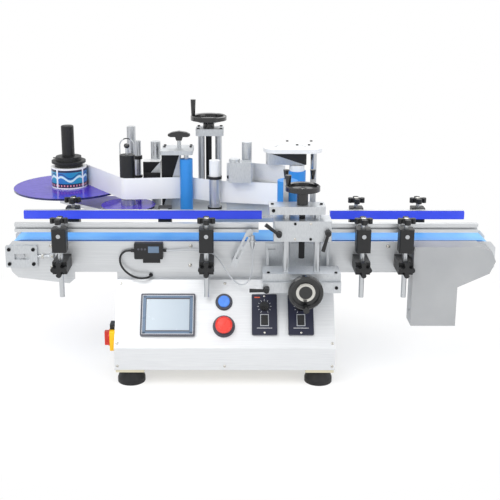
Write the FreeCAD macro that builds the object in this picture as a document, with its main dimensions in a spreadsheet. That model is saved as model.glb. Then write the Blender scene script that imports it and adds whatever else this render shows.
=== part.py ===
import FreeCAD, Part
import math
import os
import re
import Sketcher

# Bottle labelling machine, millimetres. X runs along the conveyor, Y away from the operator, Z up from the floor.
# Inside the model every place is measured from the conveyor: X from its middle, Y from the middle of the belt.
# line_x and line_y then carry the whole machine so that the origin is under the middle of its box.

os.makedirs("parts", exist_ok=True)
doc = FreeCAD.newDocument("BottleLabellingMachine")
sheet = doc.addObject("Spreadsheet::Sheet", "Sizes")
nodes = []
vector = FreeCAD.Vector
along = {
    "X": FreeCAD.Rotation(vector(0, 1, 0), 90),
    "Y": FreeCAD.Rotation(vector(1, 0, 0), -90),
    "Z": FreeCAD.Rotation(),
}

sizes = {
    # Place of the conveyor in the machine
    "line_x": 26.5, "line_y": -108,
    # Cabinet
    "cabinet_long": 520, "cabinet_x": -61, "cabinet_back": 300, "cabinet_wall": 2, "foot_high": 42,
    "deck_high": 234, "panel_top_y": -60, "panel_low_y": -155, "panel_bend_z": 97, "panel_thick": 3,
    # Feet
    "pad_thick": 7.5, "pad_wide": 67, "foot_radius": 33, "foot_rim": 10, "foot_top_radius": 24,
    "foot_inset": 36,
    # Buttons on the panel, from the fold's middle
    "start_x": -2, "start_up": 111, "start_radius": 14, "stop_x": -2, "stop_up": 52, "stop_radius": 20,
    "start_neck": 14, "stop_neck": 11, "collar_wall": 3.5, "collar_high": 6, "button_gap": 0.3,
    "button_stroke": 4, "stop_stroke": 5,
    # Touch screen
    "screen_x": -135, "screen_up": 79, "screen_long": 129, "screen_high": 102, "screen_thick": 8,
    "screen_rim": 13, "screen_sink": 3, "screen_gap": 0.3, "screen_corner": 3,
    # Speed controllers
    "speed_left_x": 94, "speed_right_x": 180, "speed_up": 80, "speed_wide": 60, "speed_high": 98,
    "speed_thick": 7, "speed_corner": 3, "dial_up": 19, "dial_radius": 9, "dial_high": 13, "dial_gap": 0.3,
    "rocker_up": -14, "rocker_wide": 15, "rocker_high": 22, "rocker_thick": 5, "rocker_sink": 4,
    "rocker_gap": 0.6,
    # Main switch on the left side
    "switch_y": -112, "switch_z": 106, "switch_wide": 50, "switch_thick": 12, "switch_boss": 20,
    "handle_gap": 0.3, "handle_long": 34, "handle_wide": 12, "handle_thick": 14, "hood_high": 13,
    # Conveyor
    "belt_top": 329, "belt_wide": 88, "belt_thick": 3, "roller_radius": 35, "roller_fit": 0.3,
    "roller_x": 548, "plate_inner": 47, "plate_thick": 4, "plate_low": 250, "plate_top": 327,
    "plate_end": 587, "axle_radius": 6, "axle_fit": 0.1, "bed_thick": 3, "bed_end": 505, "bed_flange": 25,
    "spacer_radius": 9, "tab_low": 221, "tab_left": -575, "tab_right": -424,
    # Belt tensioners
    "block_long": 76, "block_high": 54, "block_thick": 8, "slot_long": 35, "slot_high": 14, "rod_radius": 3,
    "rod_long": 38,
    # Drive cover
    "cover_left": 382, "cover_low": 134, "cover_top": 330, "cover_step": 488, "cover_step_z": 231,
    "cover_deep": 54, "cover_wall": 2, "nose_x": 539, "nose_z": 295, "nose_radius": 35, "cover_corner": 4,
    "cover_hole": 4,
    # Drive motor
    "motor_x": 452, "motor_z": 185, "motor_radius": 36, "motor_long": 70, "gear_wide": 80, "gear_deep": 44,
    "motor_plate": 5,
    # Guide rails
    "lane": 100, "rail_low": 354, "rail_high": 22, "rail_deep": 12, "strip_deep": 4, "strip_high": 18,
    "slot_mouth": 6, "slot_room": 11, "slot_lip": 3, "slot_deep": 7, "foot_long": 20, "foot_deep": 5,
    # Rail clamps
    "post_y": 99, "post_radius": 6, "post_low": 205, "far_post_low": 252, "clamp_wide": 34,
    "clamp_low": 318, "clamp_tall": 56, "cross_z": 358, "cross_radius": 5, "cross_end": 118,
    "knob_radius": 21, "knob_thick": 12, "knob_stem": 5, "knob_rise": 12, "slide_fit": 0.1,
    "bracket_low": 266, "bracket_tall": 30, "bracket_inset": 17, "flare_long": 26, "flare_out": 16,
    # Places of the rails
    "near_start": -560, "near_stop": 19, "near_again": 189, "near_end": 538, "far_start": -564,
    "far_stop": 30, "far_again": 200, "far_end": 534, "near_clamp_a": -447, "near_clamp_b": -104,
    "near_clamp_c": 262, "near_clamp_d": 362, "far_clamp_a": -449, "far_clamp_b": -215, "far_clamp_c": 271,
    "far_clamp_d": 427,
    # Risers between cabinet and conveyor
    "riser_left": -322, "riser_step": -286, "riser_right": 190, "riser_wide": 88, "riser_gap": 16,
    "gland_x": -240, "gland_radius": 5, "gland_long": 6,
    # Sensor amplifier
    "amp_x": -243.5, "amp_z": 306, "amp_long": 69, "amp_high": 40, "amp_deep": 12, "amp_tab": 12,
    "amp_gland": 3, "amp_gland_long": 8,
    # Sensor on its slotted arm
    "arm_x": -38, "arm_z": 284, "arm_top_x": -1, "arm_top_z": 362, "arm_y": -84, "arm_wide": 16,
    "arm_thick": 4, "barrel_x": 4, "barrel_low": 328, "barrel_high": 354, "barrel_y": -92,
    "barrel_radius": 5, "ring_radius": 8,
    # Cables
    "cable_radius": 2.5, "fibre_radius": 1.5,
    # Lift column
    "column_x": -107, "column_y": 260, "column_left": 20, "column_right": 26, "column_radius": 9,
    "column_top": 533, "column_plate_long": 74, "column_plate_wide": 60, "column_plate_thick": 18,
    "column_foot": 90, "column_foot_thick": 12, "screw_radius": 8, "screw_fit": 0.3, "bush_gap": 0.3,
    "column_wheel": 48, "column_wheel_z": 562,
    # Label head plate
    "head_z": 340, "head_thick": 10, "head_block": 45, "head_travel": 70,
    # Label head, places of what stands on it
    "reel_x": -490, "reel_y": 287, "brake_x": -314, "brake_y": 150, "feed_x": -161, "feed_y": 130,
    "guide_x": -88, "guide_y": 94, "wrap_x": 118, "wrap_y": 85, "seat_gap": 0.3,
    # Rollers of the head
    "brake_radius": 18.5, "sleeve_radius": 19.5, "feed_radius": 16.3, "guide_radius": 13.6,
    "wrap_radius": 22, "collar_radius": 18, "collar_thick": 5, "roller_low": 356, "journal_radius": 6,
    # Label stock
    "web_low": 385, "web_wide": 56, "web_thick": 0.4, "web_gap": 0.3, "roll_radius": 48, "core_radius": 38,
    "disc_radius": 150, "disc_thick": 5, "small_disc_radius": 70, "small_disc_z": 362,
    # Peel plate
    "peel_left": -58, "peel_bend": 10, "peel_tip_x": 86, "peel_tip_y": 72, "peel_thick": 3, "peel_top": 486,
    # Housings on the head
    "feed_block_long": 48, "feed_block_deep": 48, "feed_cap_z": 505, "feed_cap_thick": 10, "tee_x": -181,
    "tee_y": 170, "tee_high": 557, "tee_long": 57, "tower_x": -7, "tower_y": 125, "tower_radius": 12.5,
    "tower_top": 537, "motor_box_long": 58, "motor_box_deep": 40, "motor_box_low": 444,
    "motor_box_top": 494,
    # Wrap station
    "wrap_plate_z": 519, "wrap_plate_thick": 10, "wrap_plate_long": 146, "wrap_plate_deep": 91,
    "wrap_post_radius": 8, "wrap_motor_low": 489, "wrap_motor_long": 98, "wrap_motor_deep": 56,
    "wrap_roller_top": 472,
    # Cross slide in front of the conveyor
    "base_left": 27, "base_right": 207, "base_front": -150, "base_back": -92, "base_low": 261,
    "base_top": 279, "fixed_front": -160, "fixed_low": 236, "tail_x": 117, "tail_neck": 25, "tail_wide": 30,
    "tail_high": 8, "slide_gap": 0.3, "back_plate_top": 324, "back_plate_thick": 6, "back_left": 36,
    "back_right": 190, "gusset_run": 12, "gusset_rise": 46, "gusset_thick": 6, "cross_x": 123,
    "cross_height": 249, "cross_shaft": 5, "shaft_blind": 16, "cross_wheel": 40, "cross_wheel_y": -184,
    "lock_x": 35,
    # Lift on the cross slide
    "lift_post_radius": 8, "lift_half": 35.5, "lift_y": -124, "lift_screw": 7, "lift_screw_low": 310,
    "head_left": 40, "head_right": 168, "head_front": -148, "head_back": -100, "crosshead_low": 419,
    "crosshead_top": 438, "block_left": 51, "block_right": 183, "block_front": -152, "block_back": -96,
    "block_low": 357, "block_top": 405, "lift_wheel": 40, "lift_wheel_z": 463, "press_x": 87,
    "press_y": -48, "press_radius": 24, "press_top": 477, "arm_low": 393, "arm_top": 403, "arm_left": 70,
    "arm_right": 150, "strip_y": -78, "strip_top": 487, "strip_thick": 4, "strip_wide": 12,
    "lever_left_x": 62.6, "lever_left_z": 376, "lever_right_x": 174, "lever_right_z": 379,
}
for row, (word, number) in enumerate(sizes.items(), 1):
    sheet.set("A%d" % row, word)
    sheet.set("B%d" % row, str(number))
    sheet.setAlias("B%d" % row, word)
doc.recompute([sheet])



# Slant of the panel from upright, in degrees
follows = {"panel_slope": "atan((panel_top_y - panel_low_y) / (deck_high - panel_bend_z))"}


def bound(text):
    def name(word):
        if word[0] in follows:
            return "(" + bound(follows[word[0]]) + ")"
        return "Sizes." + word[0] if word[0] in sizes else word[0]
    return re.sub(r"[a-z][a-z0-9_]*", name, str(text))


def size(text):
    return float(sheet.evalExpression(bound(text)))


def bind(thing, **formulas):
    for name, text in formulas.items():
        thing.setExpression(name.replace("_of_", "."), bound(text))
    return thing


def put(thing, x, y, z, rotation=None):
    if rotation:
        thing.Placement = FreeCAD.Placement(vector(), rotation)
    thing.setExpression("Placement.Base.x", bound(x))
    thing.setExpression("Placement.Base.y", bound(y))
    thing.setExpression("Placement.Base.z", bound(z))
    return thing


def box(name, x, y, z, long, wide, high):
    thing = bind(doc.addObject("Part::Box", name), Length=long, Width=wide, Height=high)
    return put(thing, "%s - (%s) / 2" % (x, long), "%s - (%s) / 2" % (y, wide), z)


def rod(name, x, y, z, radius, length, axis="Z"):
    thing = bind(doc.addObject("Part::Cylinder", name), Radius=radius, Height=length)
    return put(thing, x, y, z, along[axis])


def cone(name, x, y, z, start, end, length, axis="Z"):
    thing = bind(doc.addObject("Part::Cone", name), Radius1=start, Radius2=end, Height=length)
    return put(thing, x, y, z, along[axis])


def cut(name, base, *tools):
    tool = tools[0] if len(tools) == 1 else fuse(name + "Tools", *tools)
    thing = doc.addObject("Part::Cut", name)
    thing.Base = base
    thing.Tool = tool
    return thing


def fuse(name, *pieces):
    thing = doc.addObject("Part::MultiFuse", name)
    thing.Shapes = list(pieces)
    return thing


def group(name, *pieces):
    thing = doc.addObject("Part::Compound", name)
    thing.Links = list(pieces)
    return thing


def solid(name, shape):
    thing = doc.addObject("Part::Feature", name)
    thing.Shape = shape
    return thing


def rounded(name, base, radius, wanted):
    # Rounds the edges of base that the test picks by their middle and their direction.
    doc.recompute()
    thing = doc.addObject("Part::Fillet", name)
    thing.Base = base
    picked = []
    for number, edge in enumerate(base.Shape.Edges, 1):
        if isinstance(edge.Curve, Part.Line) and wanted(edge.CenterOfMass, edge.Curve.Direction):
            picked.append((number, size(radius), size(radius)))
    thing.Edges = picked
    return thing


def upright(middle, direction):
    return abs(direction.z) > 0.99


def facing(middle, direction):
    return abs(direction.y) > 0.99


def sideways(middle, direction):
    return abs(direction.x) > 0.99


def body(name):
    return doc.addObject("PartDesign::Body", name)


def sketch(owner, name, plane, lift="0"):
    drawing = owner.newObject("Sketcher::SketchObject", name)
    drawing.AttachmentSupport = [([f for f in owner.Origin.OriginFeatures if f.Role == plane][0], "")]
    drawing.MapMode = "FlatFace"
    drawing.setExpression("AttachmentOffset.Base.z", bound(lift))
    return drawing


def corners(drawing, points):
    # A closed outline whose every corner is held at its own two formulas.
    seeds = [vector(size(a), size(b), 0) for a, b in points]
    first = drawing.GeometryCount
    total = len(points)
    for number in range(total):
        drawing.addGeometry(Part.LineSegment(seeds[number], seeds[(number + 1) % total]))
    for number in range(total):
        following = first + (number + 1) % total
        drawing.addConstraint(Sketcher.Constraint("Coincident", first + number, 2, following, 1))
    for number, (across, up) in enumerate(points):
        for kind, text, seed in (("DistanceX", across, seeds[number].x), ("DistanceY", up, seeds[number].y)):
            held = drawing.addConstraint(Sketcher.Constraint(kind, -1, 1, first + number, 1, seed))
            drawing.setExpression("Constraints[%d]" % held, bound(text))


def circle(drawing, across, up, radius):
    ring = Part.Circle(vector(size(across), size(up), 0), vector(0, 0, 1), size(radius))
    number = drawing.addGeometry(ring)
    held = drawing.addConstraint(Sketcher.Constraint("Radius", number, size(radius)))
    drawing.setExpression("Constraints[%d]" % held, bound(radius))
    for kind, text in (("DistanceX", across), ("DistanceY", up)):
        held = drawing.addConstraint(Sketcher.Constraint(kind, -1, 1, number, 3, size(text)))
        drawing.setExpression("Constraints[%d]" % held, bound(text))


def feature(owner, kind, name, drawing, length, both=False, back=False):
    thing = owner.newObject("PartDesign::" + kind, name)
    thing.Profile = drawing
    thing.setExpression("Length", bound(length))
    thing.Midplane = both
    thing.Reversed = back
    return thing


def turned(owner, name, points):
    # A solid of revolution about Z from a half profile of radius and height.
    drawing = sketch(owner, name + "Profile", "XZ_Plane")
    corners(drawing, points)
    thing = owner.newObject("PartDesign::Revolution", name)
    thing.Profile = drawing
    thing.ReferenceAxis = (drawing, ["V_Axis"])
    thing.Angle = 360
    return owner


def node(label, thing, x="0", y="0", z="0", rotation=None):
    thing.Label = label
    put(thing, "line_x + " + x, "line_y + " + y, z, rotation)
    nodes.append(thing)


def star(radius, thickness, lobes=4):
    # A lobed hand knob: round lobes joined by hollow flanks, standing on Z 0.
    lobe = radius * 0.34
    reach = radius - lobe
    step = 2 * math.pi / lobes
    half = 0.30 * step
    edges = []
    for turn in range(lobes):
        angle = turn * step
        middle = vector(reach * math.cos(angle), reach * math.sin(angle), 0)
        ends = [middle + vector(lobe * math.cos(angle + s * math.pi * 0.5),
                                lobe * math.sin(angle + s * math.pi * 0.5), 0) for s in (-1, 1)]
        tip = middle + vector(lobe * math.cos(angle), lobe * math.sin(angle), 0)
        edges.append(Part.Arc(ends[0], tip, ends[1]).toShape())
        valley = angle + step / 2
        hollow = vector(radius * 0.42 * math.cos(valley), radius * 0.42 * math.sin(valley), 0)
        coming = angle + step
        landing = vector(reach * math.cos(coming), reach * math.sin(coming), 0)
        landing += vector(lobe * math.cos(coming - math.pi * 0.5), lobe * math.sin(coming - math.pi * 0.5), 0)
        edges.append(Part.Arc(ends[1], hollow, landing).toShape())
    face = Part.Face(Part.Wire(Part.__sortEdges__(edges)))
    return face.extrude(vector(0, 0, thickness))


def moved(shape, x, y, z, rotation=None):
    copy = shape.copy()
    copy.Placement = FreeCAD.Placement(vector(x, y, z), rotation or FreeCAD.Rotation())
    return copy


def cabinet():
    shell = body("CabinetShell")
    front = "panel_low_y + panel_thick"
    side = sketch(shell, "CabinetSide", "YZ_Plane")
    corners(side, [
        ("panel_top_y + panel_thick / cos(panel_slope)", "deck_high"),
        (front, "panel_bend_z - panel_thick * tan(panel_slope / 2)"),
        (front, "foot_high"),
        ("cabinet_back", "foot_high"),
        ("cabinet_back", "deck_high"),
    ])
    feature(shell, "Pad", "CabinetPad", side, "cabinet_long", both=True)
    hollow = sketch(shell, "CabinetHollow", "YZ_Plane")
    corners(hollow, [
        ("panel_low_y - cabinet_wall", "foot_high - cabinet_wall"),
        ("cabinet_back - cabinet_wall", "foot_high - cabinet_wall"),
        ("cabinet_back - cabinet_wall", "deck_high - cabinet_wall"),
        ("panel_low_y - cabinet_wall", "deck_high - cabinet_wall"),
    ])
    feature(shell, "Pocket", "CabinetInside", hollow, "cabinet_long - 2 * cabinet_wall", both=True)
    node("cabinet_shell", shell, "cabinet_x")

    tray = box("TrayPlate", "0", "(panel_low_y + panel_thick + cabinet_back - cabinet_wall) / 2", "foot_high",
               "cabinet_long - 2 * cabinet_wall", "cabinet_back - cabinet_wall - panel_low_y - panel_thick",
               "cabinet_wall")
    pads = [tray]
    feet = []
    for across in (-1, 1):
        for deep in ("panel_low_y + foot_inset", "cabinet_back - foot_inset"):
            place = "%d * (cabinet_long / 2 - foot_inset)" % across
            tag = "%d" % len(feet)
            pads.append(box("FootPad" + tag, place, deep, "foot_high - pad_thick", "pad_wide", "pad_wide", "pad_thick"))
            rim = rod("FootRim" + tag, place, deep, "0", "foot_radius", "foot_rim")
            crown = cone("FootCrown" + tag, place, deep, "foot_rim", "foot_radius", "foot_top_radius",
                         "foot_high - pad_thick - foot_rim")
            feet.append(fuse("Foot" + tag, rim, crown))
    node("base_plate", group("BaseTray", *pads), "cabinet_x")
    node("leveling_feet", group("Feet", *feet), "cabinet_x")


def front_panel():
    panel = body("PanelSheet")
    side = sketch(panel, "PanelSide", "YZ_Plane")
    corners(side, [
        ("panel_top_y", "deck_high"),
        ("panel_low_y", "panel_bend_z"),
        ("panel_low_y", "foot_high"),
        ("panel_low_y + panel_thick", "foot_high"),
        ("panel_low_y + panel_thick", "panel_bend_z - panel_thick * tan(panel_slope / 2)"),
        ("panel_top_y + panel_thick / cos(panel_slope)", "deck_high"),
    ])
    feature(panel, "Pad", "PanelPad", side, "cabinet_long", both=True)
    bores = []
    for word in ("start", "stop"):
        bore = rod(word.title() + "Bore", word + "_x", "0", "0", word + "_neck + button_gap", "4 * panel_thick")
        bore.Placement = FreeCAD.Placement(vector(), FreeCAD.Rotation(vector(1, 0, 0), 1))
        bind(bore, Placement_of_Rotation_of_Angle="90 deg - panel_slope")
        rise = word + "_up * cos(panel_slope) - 2 * panel_thick * sin(panel_slope)"
        run = word + "_up * sin(panel_slope) + 2 * panel_thick * cos(panel_slope)"
        put(bore, word + "_x", "panel_low_y + " + run, "panel_bend_z + " + rise)
        bores.append(bore)
    node("front_panel", cut("Panel", panel, *bores), "cabinet_x")


def on_panel(label, thing):
    # The panel's own frame: X along the fold, Y up the slant, Z out of the face.
    thing.Label = label
    thing.Placement = FreeCAD.Placement(vector(), FreeCAD.Rotation(vector(1, 0, 0), 1))
    bind(thing, Placement_of_Rotation_of_Angle="90 deg - panel_slope")
    put(thing, "line_x + cabinet_x", "line_y + panel_low_y", "panel_bend_z")
    nodes.append(thing)


def panel_controls():
    frame = rounded("ScreenBlock", box("ScreenBlank", "screen_x", "screen_up", "0", "screen_long", "screen_high",
                                       "screen_thick"), "screen_corner", upright)
    window = box("ScreenWindow", "screen_x", "screen_up", "screen_thick - screen_sink",
                 "screen_long - 2 * screen_rim", "screen_high - 2 * screen_rim", "screen_sink + 1")
    on_panel("touch_screen_housing", cut("ScreenHousing", frame, window))
    glass = box("ScreenGlass", "screen_x", "screen_up", "screen_thick - screen_sink",
                "screen_long - 2 * (screen_rim + screen_gap)", "screen_high - 2 * (screen_rim + screen_gap)",
                "screen_sink - 1")
    on_panel("touch_screen_glass", group("ScreenPlace", glass))

    bezels = []
    for word in ("start", "stop"):
        ring = rod(word + "Collar", word + "_x", word + "_up", "0",
                   word + "_radius + button_gap + collar_wall", "collar_high")
        bore = rod(word + "CollarBore", word + "_x", word + "_up", "-1", word + "_neck + button_gap",
                   "collar_high + 2")
        bezels.append(cut(word + "Ring", ring, bore))
    for hand in ("left", "right"):
        place = "speed_%s_x" % hand
        plate = rounded(hand + "SpeedBlock", box(hand + "SpeedBlank", place, "speed_up", "0", "speed_wide",
                                                 "speed_high", "speed_thick"), "speed_corner", upright)
        recess = box(hand + "RockerRecess", place, "speed_up + rocker_up", "speed_thick - rocker_sink",
                     "rocker_wide + 2 * rocker_gap", "rocker_high + 2 * rocker_gap", "rocker_sink + 1")
        bezels.append(cut(hand + "SpeedPlate", plate, recess))
        skirt = rod(hand + "DialSkirt", place, "speed_up + dial_up", "speed_thick + dial_gap",
                    "1.25 * dial_radius", "dial_high / 4")
        grip = rod(hand + "DialGrip", place, "speed_up + dial_up", "speed_thick + dial_gap", "dial_radius",
                   "dial_high")
        mark = box(hand + "DialMark", place, "speed_up + dial_up + dial_radius * 0.7",
                   "speed_thick + dial_gap + dial_high - 1", "1.2", "dial_radius * 0.8", "1.6")
        on_panel("speed_knob_" + hand, fuse(hand + "Dial", skirt, grip, mark))
        rocker = body(hand + "Rocker")
        face = sketch(rocker, hand + "RockerSide", "YZ_Plane")
        low = "speed_thick - rocker_sink + rocker_gap + 1.2"
        corners(face, [
            ("-rocker_high / 2", low),
            ("0", "speed_thick - rocker_sink + rocker_gap"),
            ("rocker_high / 2", low),
            ("rocker_high / 2", "speed_thick + rocker_thick - 1"),
            ("0", "speed_thick + rocker_thick - 3.5"),
            ("-rocker_high / 2", "speed_thick + rocker_thick - 3.5"),
        ])
        feature(rocker, "Pad", hand + "RockerPad", face, "rocker_wide", both=True)
        lever = group(hand + "RockerPlace", put(rocker, place, "speed_up + rocker_up", "0"))
        on_panel("rocker_" + hand, lever)
    on_panel("panel_bezels", group("Bezels", *bezels))

    top = "collar_high + button_stroke + 1"
    start = body("StartButton")
    turned(start, "StartCap", [("0", "-6"), ("start_neck", "-6"), ("start_neck", top + " - 1.5"),
                               ("start_neck - 1.5", top), ("0", top)])
    on_panel("start_button", group("StartPlace", put(start, "start_x", "start_up", "0")))
    stop = body("StopButton")
    face = "collar_high + stop_stroke + 0.5"
    turned(stop, "StopHead", [("0", "-6"), ("stop_neck", "-6"), ("stop_neck", face), ("stop_radius - 2", face),
                              ("stop_radius", face + " + 3"), ("stop_radius", face + " + 9"),
                              ("stop_radius - 5", face + " + 14"), ("0", face + " + 15")])
    on_panel("estop_button", group("StopPlace", put(stop, "stop_x", "stop_up", "0")))


def main_switch():
    side = "cabinet_x - cabinet_long / 2"
    plate = rounded("SwitchBlock", box("SwitchBlank", "-switch_thick / 2", "0", "-switch_wide / 2", "switch_thick",
                                       "switch_wide", "switch_wide"), "switch_thick / 3", sideways)
    hood = box("SwitchHood", "-switch_thick / 2", "0", "switch_wide / 2", "switch_thick", "switch_wide / 2",
               "hood_high")
    node("main_switch_plate", group("SwitchPlate", plate, hood), side, "switch_y", "switch_z")
    disc = rod("SwitchDisc", "-switch_thick - handle_gap - 4", "0", "0", "switch_boss", "4", "X")
    grip = box("SwitchGrip", "-switch_thick - handle_gap - handle_thick / 2", "0", "-handle_long / 2",
               "handle_thick", "handle_wide", "handle_long")
    node("main_switch_handle", fuse("SwitchHandle", disc, grip), side, "switch_y", "switch_z")


def belt_loop(name, radius, wide):
    # A flat oval round both rollers, standing across the conveyor.
    high = "belt_top - belt_thick - roller_radius - roller_fit"
    ends = [rod(name + hand, across, "-(%s) / 2" % wide, high, radius, wide, "Y")
            for hand, across in (("Left", "-roller_x"), ("Right", "roller_x"))]
    middle = box(name + "Middle", "0", "0", high + " - (%s)" % radius, "2 * roller_x", wide, "2 * (%s)" % radius)
    return fuse(name, middle, *ends)


def conveyor():
    axis = "belt_top - belt_thick - roller_radius - roller_fit"
    outer = belt_loop("BeltOuter", "roller_radius + roller_fit + belt_thick", "belt_wide")
    inner = belt_loop("BeltInner", "roller_radius + roller_fit", "belt_wide + 2")
    node("conveyor_belt", cut("Belt", outer, inner))

    plates = []
    for word, side in (("Front", -1), ("Rear", 1)):
        plate = body(word + "Plate")
        face = sketch(plate, word + "Outline", "XZ_Plane")
        corners(face, [
            ("-plate_end", "(plate_low + plate_top) / 2"),
            ("-plate_end + 8", "plate_low + 14"),
            ("tab_left", "plate_low"),
            ("tab_left + 14", "plate_low - 14"),
            ("tab_right - 14", "tab_low"),
            ("tab_right", "tab_low + 12"),
            ("tab_right", "plate_low"),
            ("plate_end - 12", "plate_low"),
            ("plate_end", "plate_low + 14"),
            ("plate_end", "plate_top - 14"),
            ("plate_end - 12", "plate_top"),
            ("-plate_end + 16", "plate_top"),
            ("-plate_end + 4", "plate_top - 14"),
        ])
        pad = feature(plate, "Pad", word + "Thickness", face, "plate_thick")
        pad.Reversed = side > 0
        bores = sketch(plate, word + "Bores", "XZ_Plane")
        circle(bores, "-roller_x", axis, "axle_radius + axle_fit")
        circle(bores, "roller_x", axis, "axle_radius + axle_fit")
        pocket = feature(plate, "Pocket", word + "AxleBores", bores, "plate_thick")
        pocket.Reversed = side < 0
        plates.append(put(plate, "0", "%d * plate_inner" % side, "0"))
    top = box("BedTop", "0", "0", "belt_top - belt_thick - bed_thick", "2 * bed_end", "2 * plate_inner", "bed_thick")
    flanges = [box("BedFlange%d" % side, "0", "%d * (plate_inner - bed_thick / 2)" % side,
                   "belt_top - belt_thick - bed_flange", "2 * bed_end", "bed_thick", "bed_flange")
               for side in (-1, 1)]
    plates.append(fuse("Bed", top, *flanges))
    for number, place in enumerate(("-bed_end + 30", "-170", "170", "bed_end - 130")):
        plates.append(rod("Spacer%d" % number, place, "-plate_inner", axis, "spacer_radius", "2 * plate_inner", "Y"))
    node("conveyor_frame", group("ConveyorFrame", *plates))

    blocks = []
    for side in (-1, 1):
        tag = "Near" if side < 0 else "Far"
        middle = "%d * (plate_inner + plate_thick + block_thick / 2)" % side
        blank = rounded(tag + "TensionBlank", box(tag + "TensionBox", "-plate_end + block_long / 2", middle,
                                                  axis + " - block_high / 2", "block_long", "block_thick",
                                                  "block_high"), "3", facing)
        slot = box(tag + "TensionSlot", "-roller_x", middle, axis + " - slot_high / 2", "slot_long",
                   "block_thick + 2", "slot_high")
        lug = box(tag + "TensionLug", "-plate_end + block_long + rod_long - 4", middle, axis + " - 7", "10",
                  "block_thick", "14")
        screw = rod(tag + "TensionRod", "-plate_end + block_long", middle, axis, "rod_radius", "rod_long", "X")
        blocks.append(cut(tag + "Tensioner", fuse(tag + "TensionSet", blank, lug, screw), slot))
    node("belt_tensioners", group("Tensioners", *blocks))

    barrel = "belt_wide - 4"
    for word, place, tail in (("tail", "-roller_x", "block_thick / 2"), ("drive", "roller_x", "16")):
        drum = rod(word + "Drum", "0", "-(%s) / 2" % barrel, "0", "roller_radius", barrel, "Y")
        reach = "plate_inner + plate_thick + " + tail
        axle = rod(word + "Axle", "0", "-(%s)" % reach, "0", "axle_radius", "2 * (%s)" % reach, "Y")
        node(word + "_roller", fuse(word + "Roller", drum, axle), place, "0", axis)


def drive():
    cover = body("CoverShell")
    outside = sketch(cover, "CoverOutline", "XZ_Plane")
    tilt = "nose_radius * 0.64"
    corners(outside, [
        ("cover_left", "cover_top"),
        ("nose_x", "cover_top"),
        ("nose_x + nose_radius * 0.707", "nose_z + nose_radius * 0.707"),
        ("nose_x + nose_radius", "nose_z"),
        ("nose_x + %s" % tilt, "nose_z - nose_radius * 0.85"),
        ("cover_step", "cover_step_z"),
        ("cover_step", "cover_low"),
        ("cover_left", "cover_low"),
    ])
    feature(cover, "Pad", "CoverPad", outside, "cover_deep")
    inside = sketch(cover, "CoverInside", "XZ_Plane")
    corners(inside, [
        ("cover_left + cover_wall", "cover_top - cover_wall"),
        ("nose_x - 1", "cover_top - cover_wall"),
        ("nose_x + nose_radius * 0.707 - 1.6", "nose_z + nose_radius * 0.707 - 1.6"),
        ("nose_x + nose_radius - cover_wall", "nose_z"),
        ("nose_x + %s - 1.6" % tilt, "nose_z - nose_radius * 0.85 + 1.6"),
        ("cover_step - cover_wall", "cover_step_z + cover_wall"),
        ("cover_step - cover_wall", "cover_low + cover_wall"),
        ("cover_left + cover_wall", "cover_low + cover_wall"),
    ])
    feature(cover, "Pocket", "CoverHollow", inside, "cover_deep - cover_wall", back=True)
    bores = [rod("CoverBore" + word, "cover_left - 5", "-cover_deep / 2", up, "cover_hole", "10", "X")
             for word, up in (("Top", "cover_top - 22"), ("Low", "cover_low + 30"))]
    node("drive_cover", cut("Cover", cover, *bores), "0", "-plate_inner - plate_thick")

    plate = box("MotorPlate", "motor_x", "-plate_inner - plate_thick / 2 + motor_plate",
                "motor_z - gear_wide / 2", "gear_wide", "motor_plate", "plate_low - motor_z + gear_wide / 2")
    inner = "-plate_inner - plate_thick / 2 + 1.5 * motor_plate"
    gear = rounded("GearBlock", box("GearBox", "motor_x", inner + " + gear_deep / 2", "motor_z - gear_wide / 2",
                                    "gear_wide", "gear_deep", "gear_wide"), "8", facing)
    can = rod("MotorCan", "motor_x", inner + " + gear_deep", "motor_z", "motor_radius", "motor_long", "Y")
    shaft = rod("MotorShaft", "motor_x", inner + " - 26", "motor_z", "axle_radius", "26 + gear_deep / 2", "Y")
    node("conveyor_motor", fuse("Motor", plate, gear, can, shaft))


cabinet()
front_panel()
panel_controls()
main_switch()
conveyor()
drive()


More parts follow.
